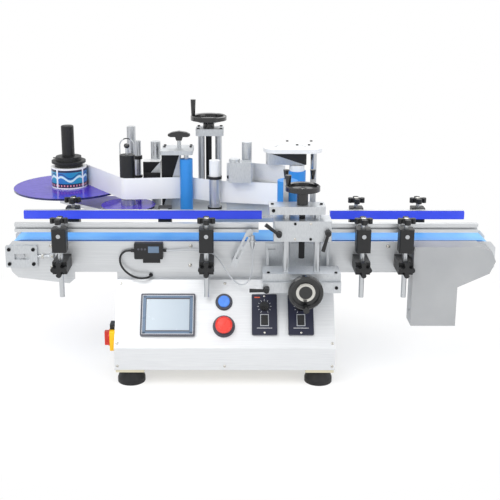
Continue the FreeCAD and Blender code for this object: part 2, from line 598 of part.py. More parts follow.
def rail(name, side, start, end, clamps, knobs=2, flare=False):
    sign = "%d * " % side
    inner = "(lane / 2 + strip_deep)"
    middle = "rail_high / 2"
    profile = body(name + "Profile")
    section = sketch(profile, name + "Section", "YZ_Plane")
    deep = (("0", "0"), ("rail_deep", "0"), ("rail_deep", middle + " - slot_mouth / 2"),
            ("rail_deep - slot_lip", middle + " - slot_mouth / 2"),
            ("rail_deep - slot_lip", middle + " - slot_room / 2"),
            ("rail_deep - slot_deep", middle + " - slot_room / 2"),
            ("rail_deep - slot_deep", middle + " + slot_room / 2"),
            ("rail_deep - slot_lip", middle + " + slot_room / 2"),
            ("rail_deep - slot_lip", middle + " + slot_mouth / 2"),
            ("rail_deep", middle + " + slot_mouth / 2"), ("rail_deep", "rail_high"), ("0", "rail_high"))
    corners(section, [(sign + "(" + out + ")", up) for out, up in deep])
    feature(profile, "Pad", name + "Pad", section, "%s - (%s)" % (end, start), both=True)
    centre = "(%s + %s) / 2" % (start, end)
    pieces = [put(profile, centre, sign + inner, "rail_low")]
    pieces.append(box(name + "Strip", centre, sign + "(lane / 2 + strip_deep / 2)",
                      "rail_low + (rail_high - strip_high) / 2", "%s - (%s)" % (end, start), "strip_deep",
                      "strip_high"))
    if flare:
        wing = body(name + "Flare")
        plan = sketch(wing, name + "FlarePlan", "XY_Plane")
        corners(plan, [
            (start, sign + "lane / 2"),
            (start + " - flare_long", sign + "(lane / 2 + flare_out)"),
            (start + " - flare_long", sign + "(lane / 2 + flare_out + strip_deep)"),
            (start, sign + "(lane / 2 + strip_deep)"),
        ])
        feature(wing, "Pad", name + "FlarePad", plan, "rail_high")
        pieces.append(put(wing, "0", "0", "rail_low"))
    standing = []
    outer = "lane / 2 + strip_deep + rail_deep"
    for number, place in enumerate(clamps):
        tag = name + "Clamp%d" % number
        pieces.append(box(tag + "Foot", place, sign + "(%s + foot_deep / 2)" % outer, "rail_low", "foot_long",
                          "foot_deep", "rail_high"))
        bar = rod(tag + "Cross", place, "%s(%s + foot_deep)" % (sign, outer) if side > 0 else "-cross_end",
                  "cross_z", "cross_radius", "cross_end - (%s + foot_deep)" % outer, "Y")
        pieces.append(bar)
        blank = rounded(tag + "Block", box(tag + "Blank", place, sign + "post_y", "clamp_low", "clamp_wide",
                                           "clamp_wide", "clamp_tall"), "5", upright)
        bore = rod(tag + "Bore", place, "%s post_y - clamp_wide / 2 - 1" % sign, "cross_z",
                   "cross_radius + slide_fit", "clamp_wide + 2", "Y")
        standing.append(cut(tag + "Head", blank, bore))
        foot = "post_low" if side < 0 else "far_post_low"
        standing.append(rod(tag + "Post", place, sign + "post_y", foot, "post_radius", "clamp_low - " + foot))
        if number < knobs:
            stem = rod(tag + "Stem", place, sign + "post_y", "clamp_low + clamp_tall", "knob_stem", "knob_rise")
            grip = solid(tag + "Grip", star(size("knob_radius"), size("knob_thick")))
            put(grip, place, sign + "post_y", "clamp_low + clamp_tall + knob_rise")
            standing.append(fuse(tag + "Knob", stem, grip))
    node(name + "_rail", group(name + "Rail", *pieces))
    node(name + "_posts", group(name + "Posts", *standing))


def rails():
    rail("near_left", -1, "near_start", "near_stop", ("near_clamp_a", "near_clamp_b"))
    rail("near_right", -1, "near_again", "near_end", ("near_clamp_c", "near_clamp_d"), flare=True)
    rail("far_left", 1, "far_start", "far_stop", ("far_clamp_a", "far_clamp_b"), knobs=1)
    rail("far_right", 1, "far_again", "far_end", ("far_clamp_c", "far_clamp_d"))

    supports = []
    outer = "(plate_inner + plate_thick)"
    deep = "(post_y + bracket_inset - plate_inner - plate_thick)"
    for side, places in ((-1, "near"), (1, "far")):
        for letter in "abcd":
            tag = "%sBracket%s" % (places, letter.upper())
            place = "%s_clamp_%s" % (places, letter)
            blank = box(tag + "Blank", place, "%d * (%s + %s / 2)" % (side, outer, deep), "bracket_low",
                        "clamp_wide", deep, "bracket_tall")
            bore = rod(tag + "Bore", place, "%d * post_y" % side, "bracket_low - 1", "post_radius + slide_fit",
                       "bracket_tall + 2")
            face = "(post_y + bracket_inset)"
            stem = rod(tag + "Stem", place, face if side > 0 else "-%s - 4" % face,
                       "bracket_low + bracket_tall / 2", "knob_stem", "4", "Y")
            grip = solid(tag + "Grip", star(size("knob_radius * 0.9"), size("knob_thick")))
            grip.Placement = FreeCAD.Placement(vector(), along["Y"])
            put(grip, place, face + " + 4" if side > 0 else "-%s - 4 - knob_thick" % face,
                "bracket_low + bracket_tall / 2", along["Y"])
            supports += [cut(tag, blank, bore), fuse(tag + "Knob", stem, grip)]
    riser = box("Riser", "(riser_step + riser_right) / 2", "0", "deck_high", "riser_right - riser_step",
                "riser_wide", "riser_gap")
    end = box("RiserEnd", "(riser_left + riser_step) / 2", "0", "deck_high", "riser_step - riser_left",
              "riser_wide + 8", "riser_gap")
    gland = rod("DeckGland", "gland_x", "-riser_wide / 2 - gland_long", "deck_high + riser_gap / 2",
                "gland_radius", "gland_long", "Y")
    supports += [riser, end, gland]
    node("conveyor_supports", group("Supports", *supports))


def tube(name, points, radius):
    # Straight runs joined by tangent arcs, each as large as its two runs allow.
    points = [vector(*point) for point in points]
    edges = []
    radii = []
    last = points[0]
    for before, corner, after in zip(points, points[1:], points[2:]):
        back = (before - corner).normalize()
        onward = (after - corner).normalize()
        turn = math.pi - back.getAngle(onward)
        leg = 0.45 * min((corner - before).Length, (after - corner).Length)
        bend = leg / math.tan(turn / 2)
        radii.append(round(bend, 1))
        start = corner + back * leg
        finish = corner + onward * leg
        inward = (back + onward).normalize()
        summit = corner + inward * (bend / math.cos(turn / 2) - bend)
        edges.append(Part.LineSegment(last, start).toShape())
        edges.append(Part.Arc(start, summit, finish).toShape())
        last = finish
    edges.append(Part.LineSegment(last, points[-1]).toShape())
    path = Part.Wire(edges)
    first = (points[1] - points[0]).normalize()
    section = Part.Wire(Part.Circle(points[0], first, radius).toShape())
    pipe = path.makePipeShell([section], True, True)
    expected = math.pi * radius ** 2 * path.Length
    print(name, "length", round(path.Length, 1), "radii", radii, "volume ratio",
          round(pipe.Volume / expected, 4))
    return solid(name, pipe)


amplifier_route = [
    (-286, -57, 306), (-295, -57, 306), (-305, -57.6, 302), (-312, -59, 293), (-313, -61.5, 281),
    (-309, -64.5, 269), (-301, -67.5, 259), (-290, -70.5, 250.5), (-277, -73, 244.5),
    (-263.5, -74.5, 242), (-252, -72.5, 242), (-244, -67, 242), (-240, -58.5, 242), (-240, -50, 242),
]
fibre_route = [
    (-201, -57, 306), (-190, -57, 306), (-175, -58, 307.5), (-155, -60, 308.6), (-132, -61.5, 308),
    (-112, -63, 306.5), (-95, -65.5, 303.5), (-82, -69, 297), (-71, -74, 284), (-61, -79, 268),
    (-50, -83, 252), (-38, -86.5, 239), (-25, -89, 231), (-12, -90.7, 233), (-3, -91.6, 244),
    (1.8, -92.3, 259), (4, -92.6, 275), (4.8, -92.4, 291), (4, -92, 307), (4, -92, 322),
]


def sensor():
    outer = "-plate_inner - plate_thick"
    case = rounded("AmpBlock", box("AmpBlank", "amp_x", outer + " - amp_deep / 2", "amp_z - amp_high / 2",
                                   "amp_long", "amp_deep", "amp_high"), "3", facing)
    tab = box("AmpTab", "amp_x + 6", outer + " - 1.5", "amp_z - amp_high / 2 - amp_tab", "amp_long * 0.6", "3",
              "amp_tab + 1")
    left = rod("AmpGlandLeft", "amp_x - amp_long / 2 - amp_gland_long", outer + " - amp_deep / 2", "amp_z",
               "amp_gland + 1", "amp_gland_long + 1", "X")
    right = rod("AmpGlandRight", "amp_x + amp_long / 2 - 1", outer + " - amp_deep / 2", "amp_z", "amp_gland",
                "amp_gland_long + 1", "X")
    node("sensor_amplifier", fuse("Amplifier", case, tab, left, right))

    arm = body("SensorArm")
    plan = sketch(arm, "ArmPlan", "XZ_Plane")
    half = "arm_wide / 2"
    corners(plan, [("-" + half, "-8"), (half, "-8"), (half, "86"), ("3", "92"), ("-3", "92"), ("-" + half, "86")])
    feature(arm, "Pad", "ArmPad", plan, "arm_thick", both=True)
    slots = sketch(arm, "ArmSlots", "XZ_Plane")
    corners(slots, [("-2.5", "12"), ("2.5", "12"), ("2.5", "38"), ("-2.5", "38")])
    corners(slots, [("-2.5", "46"), ("2.5", "46"), ("2.5", "72"), ("-2.5", "72")])
    feature(arm, "Pocket", "ArmSlotCut", slots, "arm_thick + 2", both=True)
    lean = math.degrees(math.atan2(size("arm_top_x - arm_x"), size("arm_top_z - arm_z")))
    put(arm, "arm_x", "arm_y", "arm_z", FreeCAD.Rotation(vector(0, 1, 0), lean))
    reach = "-arm_y - arm_thick / 2 - plate_inner - plate_thick"
    peg = rod("ArmPeg", "arm_x", "arm_y + arm_thick / 2", "arm_z", "7", reach, "Y")
    grip = box("BarrelGrip", "(arm_top_x + barrel_x) / 2", "arm_y - 4", "barrel_high - 12", "14", "9", "9")
    barrel = rod("Barrel", "barrel_x", "barrel_y", "barrel_low", "barrel_radius", "barrel_high - barrel_low")
    ring = rod("BarrelRing", "barrel_x", "barrel_y", "barrel_high - 14", "ring_radius", "3")
    tail = rod("BarrelTail", "barrel_x", "barrel_y", "barrel_low - 6", "barrel_radius - 1.5", "7")
    node("sensor_mount", fuse("Sensor", arm, peg, grip, barrel, ring, tail))
    node("amplifier_cable", tube("AmplifierCable", amplifier_route, size("cable_radius")))
    node("sensor_cable", tube("SensorCable", fibre_route, size("fibre_radius")))


def wheel(name, screw, low, radius, hub, deep, grip_high, rise):
    # A dished handwheel with its shaft below and a tapered turning handle on its rim, hub face at Z 0.
    owner = body(name + "Wheel")
    turned(owner, name + "Disc", [
        ("0", low), (screw, low), (screw, "-(%s)" % rise), (hub, "-(%s)" % rise), (hub, "0"),
        ("%s - 6" % radius, deep + " - 5"), (radius, deep + " - 4"), (radius, deep + " + 6"),
        ("%s - 3" % radius, deep + " + 8"), ("%s - 8" % radius, deep + " + 6"), ("%s - 9" % radius, deep),
        (hub + " + 2", "5"), (hub, "9"), ("0", "9"),
    ])
    grip = cone(name + "Grip", "-(%s) + 7" % radius, "0", deep + " + 5", "5", "7", grip_high)
    return fuse(name, owner, grip)


def column():
    back = "column_y"
    left = rod("ColumnLeft", "-column_left", "0", "deck_high + column_foot_thick", "column_radius",
               "column_top - deck_high - column_foot_thick")
    right = rod("ColumnRight", "column_right", "0", "deck_high + column_foot_thick", "column_radius",
                "column_top - deck_high - column_foot_thick")
    foot = box("ColumnFoot", "3", "0", "deck_high", "column_foot", "column_plate_wide", "column_foot_thick")
    cap = rounded("ColumnCap", box("ColumnCapBlank", "3", "0", "column_top", "column_plate_long",
                                   "column_plate_wide", "column_plate_thick"), "6", upright)
    bore = rod("ColumnCapBore", "0", "0", "column_top - 1", "screw_radius + axle_fit", "column_plate_thick + 2")
    node("column_frame", group("ColumnFrame", left, right, foot, cut("ColumnTop", cap, bore)), "column_x", back)
    turning = wheel("ColumnHand", "screw_radius", "deck_high + column_foot_thick + bush_gap - column_wheel_z",
                    "column_wheel", "15", "14", "45", "column_wheel_z - column_top - column_plate_thick - bush_gap")
    node("column_handwheel", turning, "column_x", back, "column_wheel_z")


rails()
sensor()
column()


def head_plate():
    plate = body("HeadPlate")
    plan = sketch(plate, "HeadPlan", "XY_Plane")
    corners(plan, [
        ("reel_x - 25", "reel_y - 18"),
        ("brake_x - 76", "brake_y + 16"),
        ("brake_x - 76", "brake_y - 10"),
        ("feed_x - 29", "brake_y - 10"),
        ("feed_x - 29", "feed_y - 25"),
        ("guide_x - 28", "feed_y - 25"),
        ("guide_x - 28", "guide_y - 17"),
        ("wrap_x - 58", "guide_y - 17"),
        ("wrap_x - 58", "wrap_y - 25"),
        ("wrap_x + 64", "wrap_y - 25"),
        ("wrap_x + 64", "wrap_y + 87"),
        ("column_x + 57", "wrap_y + 87"),
        ("column_x + 57", "column_y + 34"),
        ("column_x - 58", "column_y + 34"),
        ("brake_x - 16", "reel_y + 24"),
        ("reel_x - 12", "reel_y + 24"),
        ("reel_x - 30", "reel_y + 8"),
    ])
    feature(plate, "Pad", "HeadPad", plan, "head_thick")
    block = sketch(plate, "LiftBlockPlan", "XY_Plane")
    corners(block, [
        ("column_x - 50", "column_y - 30"), ("column_x + 54", "column_y - 30"),
        ("column_x + 54", "column_y + 30"), ("column_x - 50", "column_y + 30"),
    ])
    feature(plate, "Pad", "LiftBlockPad", block, "head_thick + head_block")
    bores = sketch(plate, "ColumnBores", "XY_Plane")
    circle(bores, "column_x - column_left", "column_y", "column_radius + slide_fit")
    circle(bores, "column_x + column_right", "column_y", "column_radius + slide_fit")
    circle(bores, "column_x", "column_y", "screw_radius + slide_fit")
    feature(plate, "Pocket", "ColumnBoreCut", bores, "head_thick + head_block + 1", back=True)
    node("head_plate", plate, z="head_z")

    deck = "head_z + head_thick"
    peel = body("PeelSheet")
    plan = sketch(peel, "PeelPlan", "XY_Plane")
    front = "guide_y + guide_radius + 2 * web_gap + web_thick"
    corners(plan, [
        ("peel_left", front), ("peel_bend", front), ("peel_tip_x", "peel_tip_y"),
        ("peel_tip_x + 1.5", "peel_tip_y + peel_thick"), ("peel_bend + 0.7", front + " + peel_thick"),
        ("peel_left", front + " + peel_thick"),
    ])
    feature(peel, "Pad", "PeelPad", plan, "peel_top - (%s)" % deck)
    node("peel_plate", peel, z=deck)

    block = box("FeedBlock", "feed_x - 41", "feed_y + 46", deck, "feed_block_long", "feed_block_deep",
                "feed_cap_z - (%s)" % deck)
    cap = rounded("FeedCapRound", box("FeedCap", "feed_x - 24", "feed_y + 26", "feed_cap_z", "82", "88",
                                      "feed_cap_thick"), "8", upright)
    post_c = rod("PostC", "brake_x + 67", "brake_y + 80", deck, "13", "519 - (%s)" % deck)
    case = box("BackBox", "brake_x + 59.5", "brake_y + 53", "422", "45", "36", "51")
    post_a = rod("PostA", "brake_x - 4", "reel_y + 3", deck, "12", "549 - (%s)" % deck)
    post_b = rod("PostB", "brake_x + 19", "brake_y + 84", deck, "8.5", "520 - (%s)" % deck)
    collars = [rod("PostCollar%d" % number, "brake_x + 19", "brake_y + 84", low, "11.5", tall)
               for number, (low, tall) in enumerate((("471", "9"), ("421", "6")))]
    tower = rod("Tower", "tower_x", "tower_y", deck, "tower_radius", "tower_top - (%s)" % deck)
    middle = "tower_x - 17"
    rear = front + " - motor_box_deep / 2"
    case_b = rounded("MotorCase", box("MotorCaseBlank", middle, rear, "motor_box_low", "motor_box_long",
                                      "motor_box_deep", "motor_box_top - motor_box_low"), "2.5", upright)
    lid = rod("MotorLid", middle + " - 14", rear, "motor_box_top", "13.5", "7")
    screw = rod("MotorScrew", middle + " - motor_box_long / 2 - 4", rear, "motor_box_low + 10", "4", "5", "X")
    node("head_housings", group("HeadHousings", fuse("FeedHousing", block, cap), fuse("BackHousing", post_c, case),
                                post_a, fuse("RingPost", post_b, *collars), tower,
                                fuse("MotorHousing", case_b, lid, screw)))


def tangent(first, second):
    # Where a band leaves one round and meets the next: each is (x, y, radius, side), side 1 where the band
    # passes with the round on its right, -1 on its left.
    across = second[0] - first[0]
    up = second[1] - first[1]
    shift = first[3] * first[2] - second[3] * second[2]
    heading = math.atan2(up, across) - math.asin(shift / math.hypot(across, up))
    left = vector(-math.sin(heading), math.cos(heading), 0)
    return [vector(spot[0], spot[1], 0) + left * (spot[3] * spot[2]) for spot in (first, second)]


def straight_band(start, end, thick):
    run = (end - start).normalize()
    aside = vector(-run.y, run.x, 0) * (thick / 2)
    rim = [start + aside, end + aside, end - aside, start - aside]
    return Part.Face(Part.makePolygon(rim + rim[:1]))


def label_web():
    # The label stock: a thin band from the roll round the brake, feed and guide rollers to the peel tip.
    wide = size("web_wide")
    thick = size("web_thick")
    outside = size("web_gap + web_thick / 2")
    reel = (size("reel_x"), size("reel_y"), size("roll_radius") + outside, 1)
    stops = [
        (size("brake_x"), size("brake_y"), size("sleeve_radius") + outside, -1),
        (size("feed_x"), size("feed_y"), size("feed_radius") + outside, 1),
        (size("guide_x"), size("guide_y"), size("guide_radius") + outside, 1),
    ]
    tip = (size("peel_tip_x"), size("peel_tip_y") - 1.2, outside, 1)
    leave, arrive = tangent(reel, stops[0])
    bands = [straight_band(leave, arrive, thick)]
    for here, following in zip(stops, stops[1:] + [tip]):
        leave, landing = tangent(here, following)
        centre = vector(here[0], here[1], 0)
        middle = (arrive - centre) + (leave - centre)
        middle = centre + middle.normalize() * here[2]
        across = [(spot - centre).normalize() * (thick / 2) for spot in (arrive, middle, leave)]
        outer = Part.Arc(arrive + across[0], middle + across[1], leave + across[2]).toShape()
        inner = Part.Arc(leave - across[2], middle - across[1], arrive - across[0]).toShape()
        ends = [Part.LineSegment(leave + across[2], leave - across[2]).toShape(),
                Part.LineSegment(arrive - across[0], arrive + across[0]).toShape()]
        turn = Part.Face(Part.Wire([outer, ends[0], inner, ends[1]]))
        bands += [turn, straight_band(leave, landing, thick)]
        arrive = landing
    outline = bands[0].fuse(bands[1:]).removeSplitter()
    node("label_web", solid("LabelWeb", outline.extrude(vector(0, 0, wide))), z="web_low")


def reels():
    disc_low = "web_low - web_gap - disc_thick"
    disc = rod("SupplyPlate", "0", "0", disc_low, "disc_radius", "disc_thick")
    hub = body("SupplyHub")
    top = "web_low + web_wide"
    turned(hub, "SupplySpindle", [
        ("0", "web_low - web_gap"), ("core_radius - 0.5", "web_low - web_gap"), ("core_radius - 0.5", top + " + 2"),
        ("37", top + " + 6"), ("46", top + " + 10"), ("46", top + " + 16"), ("35", top + " + 17"),
        ("34.5", top + " + 27"), ("17", top + " + 28"), ("17", "550"), ("15", "552"), ("0", "552"),
    ])
    pin = rod("SupplyPin", "-42", "0", top + " + 22", "1.5", "9", "X")
    boss = rod("SupplyBoss", "0", "0", "head_z + head_thick + seat_gap", "20",
               "%s - head_z - head_thick - seat_gap" % disc_low)
    node("supply_disc", group("SupplyReel", fuse("SupplyTurn", disc, boss), fuse("SupplyPost", hub, pin)),
         "reel_x", "reel_y")
    roll = rod("RollOuter", "0", "0", "web_low", "roll_radius", "web_wide")
    core = rod("RollCore", "0", "0", "web_low - 1", "core_radius", "web_wide + 2")
    node("label_roll", cut("LabelRoll", roll, core), "reel_x", "reel_y")

    plate = rod("SmallPlate", "0", "0", "small_disc_z", "small_disc_radius", "disc_thick")
    boss = rod("SmallBoss", "0", "0", "head_z + head_thick + seat_gap", "12",
               "small_disc_z - head_z - head_thick - seat_gap")
    node("rewind_disc", fuse("SmallReel", plate, boss), "brake_x", "brake_y")
    brake = body("BrakeRoller")
    turned(brake, "BrakeTurn", [
        ("0", "small_disc_z + disc_thick"), ("brake_radius", "small_disc_z + disc_thick"),
        ("brake_radius", "web_low - 2"), ("sleeve_radius", "web_low - 2"), ("sleeve_radius", "498"),
        ("sleeve_radius - 1", "499"), ("4", "499"), ("4", "516"), ("7", "519"), ("7.5", "523"), ("6", "527"),
        ("0", "529"),
    ])
    leg = size("sleeve_radius - 1.5")
    crown = 541 - leg
    bail_path = Part.Wire([
        Part.LineSegment(vector(-leg, 0, 499), vector(-leg, 0, crown)).toShape(),
        Part.Arc(vector(-leg, 0, crown), vector(0, 0, crown + leg), vector(leg, 0, crown)).toShape(),
        Part.LineSegment(vector(leg, 0, crown), vector(leg, 0, 499)).toShape(),
    ])
    bail = bail_path.makePipeShell([Part.Wire(Part.Circle(vector(-leg, 0, 499), vector(0, 0, 1), 1.5).toShape())],
                                   True, True)
    node("tension_roller", group("Brake", brake, solid("Bail", bail)), "brake_x", "brake_y")


def rollers():
    floor = "head_z + head_thick + seat_gap"
    low = "roller_low"
    guide = body("GuideRoller")
    turned(guide, "GuideTurn", [
        ("0", floor), ("journal_radius", floor), ("journal_radius", low), ("guide_radius", low),
        ("guide_radius", "web_low - 14"), ("collar_radius", "web_low - 14"), ("collar_radius", "web_low - 8"),
        ("guide_radius", "web_low - 8"), ("guide_radius", "web_low + web_wide + 8"),
        ("collar_radius", "web_low + web_wide + 8"), ("collar_radius", "web_low + web_wide + 15"),
        ("guide_radius", "web_low + web_wide + 15"), ("guide_radius", "496"), ("0", "496"),
    ])
    node("guide_roller", guide, "guide_x", "guide_y")
    feed = body("FeedRoller")
    turned(feed, "FeedTurn", [
        ("0", floor), ("journal_radius", floor), ("journal_radius", low), ("feed_radius", low),
        ("feed_radius", "492"), ("journal_radius", "492"), ("journal_radius", "feed_cap_z - seat_gap"),
        ("0", "feed_cap_z - seat_gap"),
    ])
    node("feed_roller", feed, "feed_x", "feed_y")

    tee = body("TeeKnob")
    side = sketch(tee, "TeeSide", "XZ_Plane")
    half = "tee_long / 2"
    corners(side, [
        ("-7", "-18"), ("7", "-18"), ("10", "-9"), (half + " - 6", "-9"), (half, "-6"), (half, "-2"),
        (half + " - 10", "3"), ("0", "6"), ("-" + half + " + 10", "3"), ("-" + half, "-2"), ("-" + half, "-6"),
        ("-" + half + " + 6", "-9"), ("-10", "-9"),
    ])
    feature(tee, "Pad", "TeePad", side, "14", both=True)
    stem = rod("TeeStem", "0", "0", "feed_cap_z + feed_cap_thick + seat_gap - tee_high + 6", "5",
               "tee_high - 6 - feed_cap_z - feed_cap_thick - seat_gap - 17")
    node("pinch_knob", fuse("Tee", tee, stem), "tee_x", "tee_y", "tee_high - 6")


def wrap_station():
    deck = "head_z + head_thick"
    plate = rounded("WrapPlateRound", box("WrapPlateBlank", "wrap_x - 11", "wrap_y + 19.5", "wrap_plate_z",
                                          "wrap_plate_long", "wrap_plate_deep", "wrap_plate_thick"), "34", upright)
    ring = rod("SlotOuter", "wrap_x - 16", "wrap_y + 8", "wrap_plate_z + 4", "42", "wrap_plate_thick")
    core = rod("SlotInner", "wrap_x - 16", "wrap_y + 8", "wrap_plate_z + 3", "36", "wrap_plate_thick + 2")
    half = box("SlotHalf", "wrap_x - 16", "wrap_y - 32", "wrap_plate_z + 2", "100", "90", "wrap_plate_thick + 4")
    slot = cut("Slot", ring, core, half)
    posts = [rod("WrapPost%d" % number, x, y, deck, "wrap_post_radius", "wrap_plate_z - (%s)" % deck)
             for number, (x, y) in enumerate((("wrap_x + 44", "wrap_y + 33"), ("wrap_x - 68", "wrap_y + 55")))]
    node("wrap_frame", group("WrapFrame", cut("WrapPlate", plate, slot), *posts))
    low = "wrap_motor_low"
    case = rounded("WrapMotorRound", box("WrapMotorBlank", "wrap_x - 26.5", "wrap_y + 13", low, "wrap_motor_long",
                                         "wrap_motor_deep", "wrap_plate_z - wrap_motor_low"), "4", upright)
    bore = rod("WrapMotorBore", "wrap_x", "wrap_y", low + " - 1", "10.1", "20")
    node("wrap_motor", cut("WrapMotor", case, bore))
    drum = body("WrapDrum")
    floor = deck + " + seat_gap"
    turned(drum, "WrapTurn", [
        ("0", floor), ("journal_radius", floor), ("journal_radius", "roller_low"), ("wrap_radius", "roller_low"),
        ("wrap_radius", "wrap_roller_top"), ("19", "wrap_roller_top"), ("19", "wrap_motor_low - 2"),
        ("10", "wrap_motor_low - 2"), ("10", "wrap_motor_low + 18"), ("0", "wrap_motor_low + 18"),
    ])
    node("wrap_roller", drum, "wrap_x", "wrap_y")


def between(name, left, right, front, back, low, top):
    thing = bind(doc.addObject("Part::Box", name), Length="(%s) - (%s)" % (right, left),
                 Width="(%s) - (%s)" % (back, front), Height="(%s) - (%s)" % (top, low))
    return put(thing, left, front, low)


def lever(name, reach):
    # A clamping lever: a hub on its stud and a tapered arm, turning about Z with the arm along X.
    stud = rod(name + "Stud", "0", "0", "slide_gap", "4", "3")
    hub = cone(name + "Hub", "0", "0", "3", "7.5", "6", "13")
    arm = cone(name + "Arm", "3", "0", "11", "3.4", "4.6", reach, "X")
    return fuse(name, stud, hub, arm)


def facing_out(angle):
    # Turns a piece whose own Z is its axis so that the axis points at the operator.
    return FreeCAD.Rotation(vector(1, 0, 0), 90) * FreeCAD.Rotation(vector(0, 0, 1), angle)


def cross_slide():
    outer = "-plate_inner - plate_thick"
    wall = outer + " - back_plate_thick"
    way = body("SlideWay")
    section = sketch(way, "SlideWaySection", "XZ_Plane")
    corners(section, [
        ("base_left", "fixed_low"), ("base_right", "fixed_low"), ("base_right", "base_low"),
        ("tail_x + tail_neck", "base_low"), ("tail_x + tail_wide", "base_low + tail_high"),
        ("tail_x - tail_wide", "base_low + tail_high"), ("tail_x - tail_neck", "base_low"),
        ("base_left", "base_low"),
    ])
    feature(way, "Pad", "SlideWayPad", section, wall + " - fixed_front")
    put(way, "0", wall, "0")
    back = between("SlideBack", "back_left", "back_right", wall, outer, "fixed_low", "back_plate_top")
    slot = between("SlideSlot", "back_left + 6", "back_left + 24", wall + " - 1", outer + " + 1",
                   "back_plate_top - 16", "back_plate_top - 9")
    gussets = []
    for number, place in enumerate(("back_left + 2", "back_right - 8")):
        web = body("Gusset%d" % number)
        side = sketch(web, "GussetSide%d" % number, "YZ_Plane")
        corners(side, [("0", "0"), ("-gusset_run", "0"), ("0", "gusset_rise")])
        feature(web, "Pad", "GussetPad%d" % number, side, "gusset_thick")
        gussets.append(put(web, place, wall, "base_low"))
    bore = rod("CrossBore", "cross_x", "fixed_front - 1", "cross_height", "cross_shaft + axle_fit",
               wall + " - fixed_front - shaft_blind + 2", "Y")
    node("slide_bracket", cut("SlideFrame", fuse("SlideBody", way, back, *gussets), bore, slot))

    plate = body("CarriagePlate")
    section = sketch(plate, "CarriageSection", "XZ_Plane")
    corners(section, [
        ("base_left", "base_low + slide_gap"), ("tail_x - tail_neck - slide_gap", "base_low + slide_gap"),
        ("tail_x - tail_wide - 2 * slide_gap", "base_low + tail_high + slide_gap"),
        ("tail_x + tail_wide + 2 * slide_gap", "base_low + tail_high + slide_gap"),
        ("tail_x + tail_neck + slide_gap", "base_low + slide_gap"), ("base_right", "base_low + slide_gap"),
        ("base_right", "base_top"), ("base_left", "base_top"),
    ])
    feature(plate, "Pad", "CarriagePad", section, "base_back - base_front")
    put(plate, "0", "base_back", "0")
    posts = [rod(name, "tail_x %s lift_half" % sign, "lift_y", "base_top", "lift_post_radius",
                 "crosshead_low - base_top") for name, sign in (("LiftPostLeft", "-"), ("LiftPostRight", "+"))]
    crosshead = rounded("CrossheadRound", between("CrossheadBlank", "head_left", "head_right", "head_front",
                                                  "head_back", "crosshead_low", "crosshead_top"), "3", upright)
    hole = rod("CrossheadBore", "tail_x", "lift_y", "crosshead_low - 1", "lift_screw + axle_fit",
               "crosshead_top - crosshead_low + 2")
    node("cross_carriage", group("Carriage", plate, cut("Crosshead", crosshead, hole), *posts))

    turning = wheel("CrossHand", "cross_shaft", "cross_wheel_y - (%s) + shaft_blind" % wall, "cross_wheel", "15", "6", "26",
                    "fixed_front - cross_wheel_y - slide_gap")
    node("cross_handwheel", turning, "cross_x", "cross_wheel_y", "cross_height", facing_out(90))
    node("cross_lever", lever("CrossLock", "36"), "lock_x", "fixed_front", "cross_height - 3", facing_out(180))

    block = rounded("LiftRound", between("LiftBlank", "block_left", "block_right", "block_front", "block_back",
                                         "block_low", "block_top"), "3", upright)
    holes = [rod(name, "tail_x %s lift_half" % sign, "lift_y", "block_low - 1", "lift_post_radius + slide_fit",
                 "block_top - block_low + 2") for name, sign in (("LiftBoreLeft", "-"), ("LiftBoreRight", "+"))]
    holes.append(rod("LiftScrewBore", "tail_x", "lift_y", "block_low - 1", "lift_screw + slide_fit",
                     "block_top - block_low + 2"))
    arm = between("PressArm", "arm_left", "arm_right", "block_back - 1", "press_y + 8", "arm_low", "arm_top")
    strips = [between("Strip" + tag, place + " - strip_wide / 2", place + " + strip_wide / 2",
                      "strip_y - strip_thick / 2", "strip_y + strip_thick / 2", "arm_top", "strip_top")
              for tag, place in (("Left", "tail_x - lift_half"), ("Right", "tail_x + lift_half - 9"))]
    tips = [cone("StripKnob" + tag, place, "strip_y", "strip_top", "3.5", "7", "22")
            for tag, place in (("Left", "tail_x - lift_half"), ("Right", "tail_x + lift_half - 9"))]
    node("lift_block", group("LiftBlock", cut("LiftBody", fuse("LiftSet", block, arm, *strips), *holes), *tips))
    turning = wheel("LiftHand", "lift_screw", "lift_screw_low - lift_wheel_z", "lift_wheel", "13", "12", "26",
                    "lift_wheel_z - crosshead_top - slide_gap")
    node("lift_handwheel", turning, "tail_x", "lift_y", "lift_wheel_z")
    node("lever_left", lever("LeftLock", "36"), "lever_left_x", "block_front", "lever_left_z", facing_out(142))
    node("lever_right", lever("RightLock", "40"), "lever_right_x", "block_front", "lever_right_z",
         facing_out(255))

    roller = body("PressRoller")
    turned(roller, "PressTurn", [
        ("0", "arm_top + seat_gap"), ("journal_radius", "arm_top + seat_gap"),
        ("journal_radius", "arm_top + 4"), ("press_radius", "arm_top + 4"), ("press_radius", "press_top"),
        ("0", "press_top"),
    ])
    node("press_roller", roller, "press_x", "press_y")


head_plate()
label_web()
reels()
rollers()
wrap_station()
cross_slide()

doc.recompute()
broken = [thing.Name for thing in doc.Objects if "Invalid" in thing.State or "Error" in thing.State]
broken += [thing.Label for thing in nodes if thing.Shape.isNull() or not thing.Shape.isValid()]
if broken:
    raise RuntimeError("these did not build: " + ", ".join(broken))
for thing in nodes:
    thing.Shape.exportStep("parts/%s.step" % thing.Label)
print(len(nodes), "nodes")
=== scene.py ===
import math

import bmesh
import bpy
from mathutils import Matrix, Vector


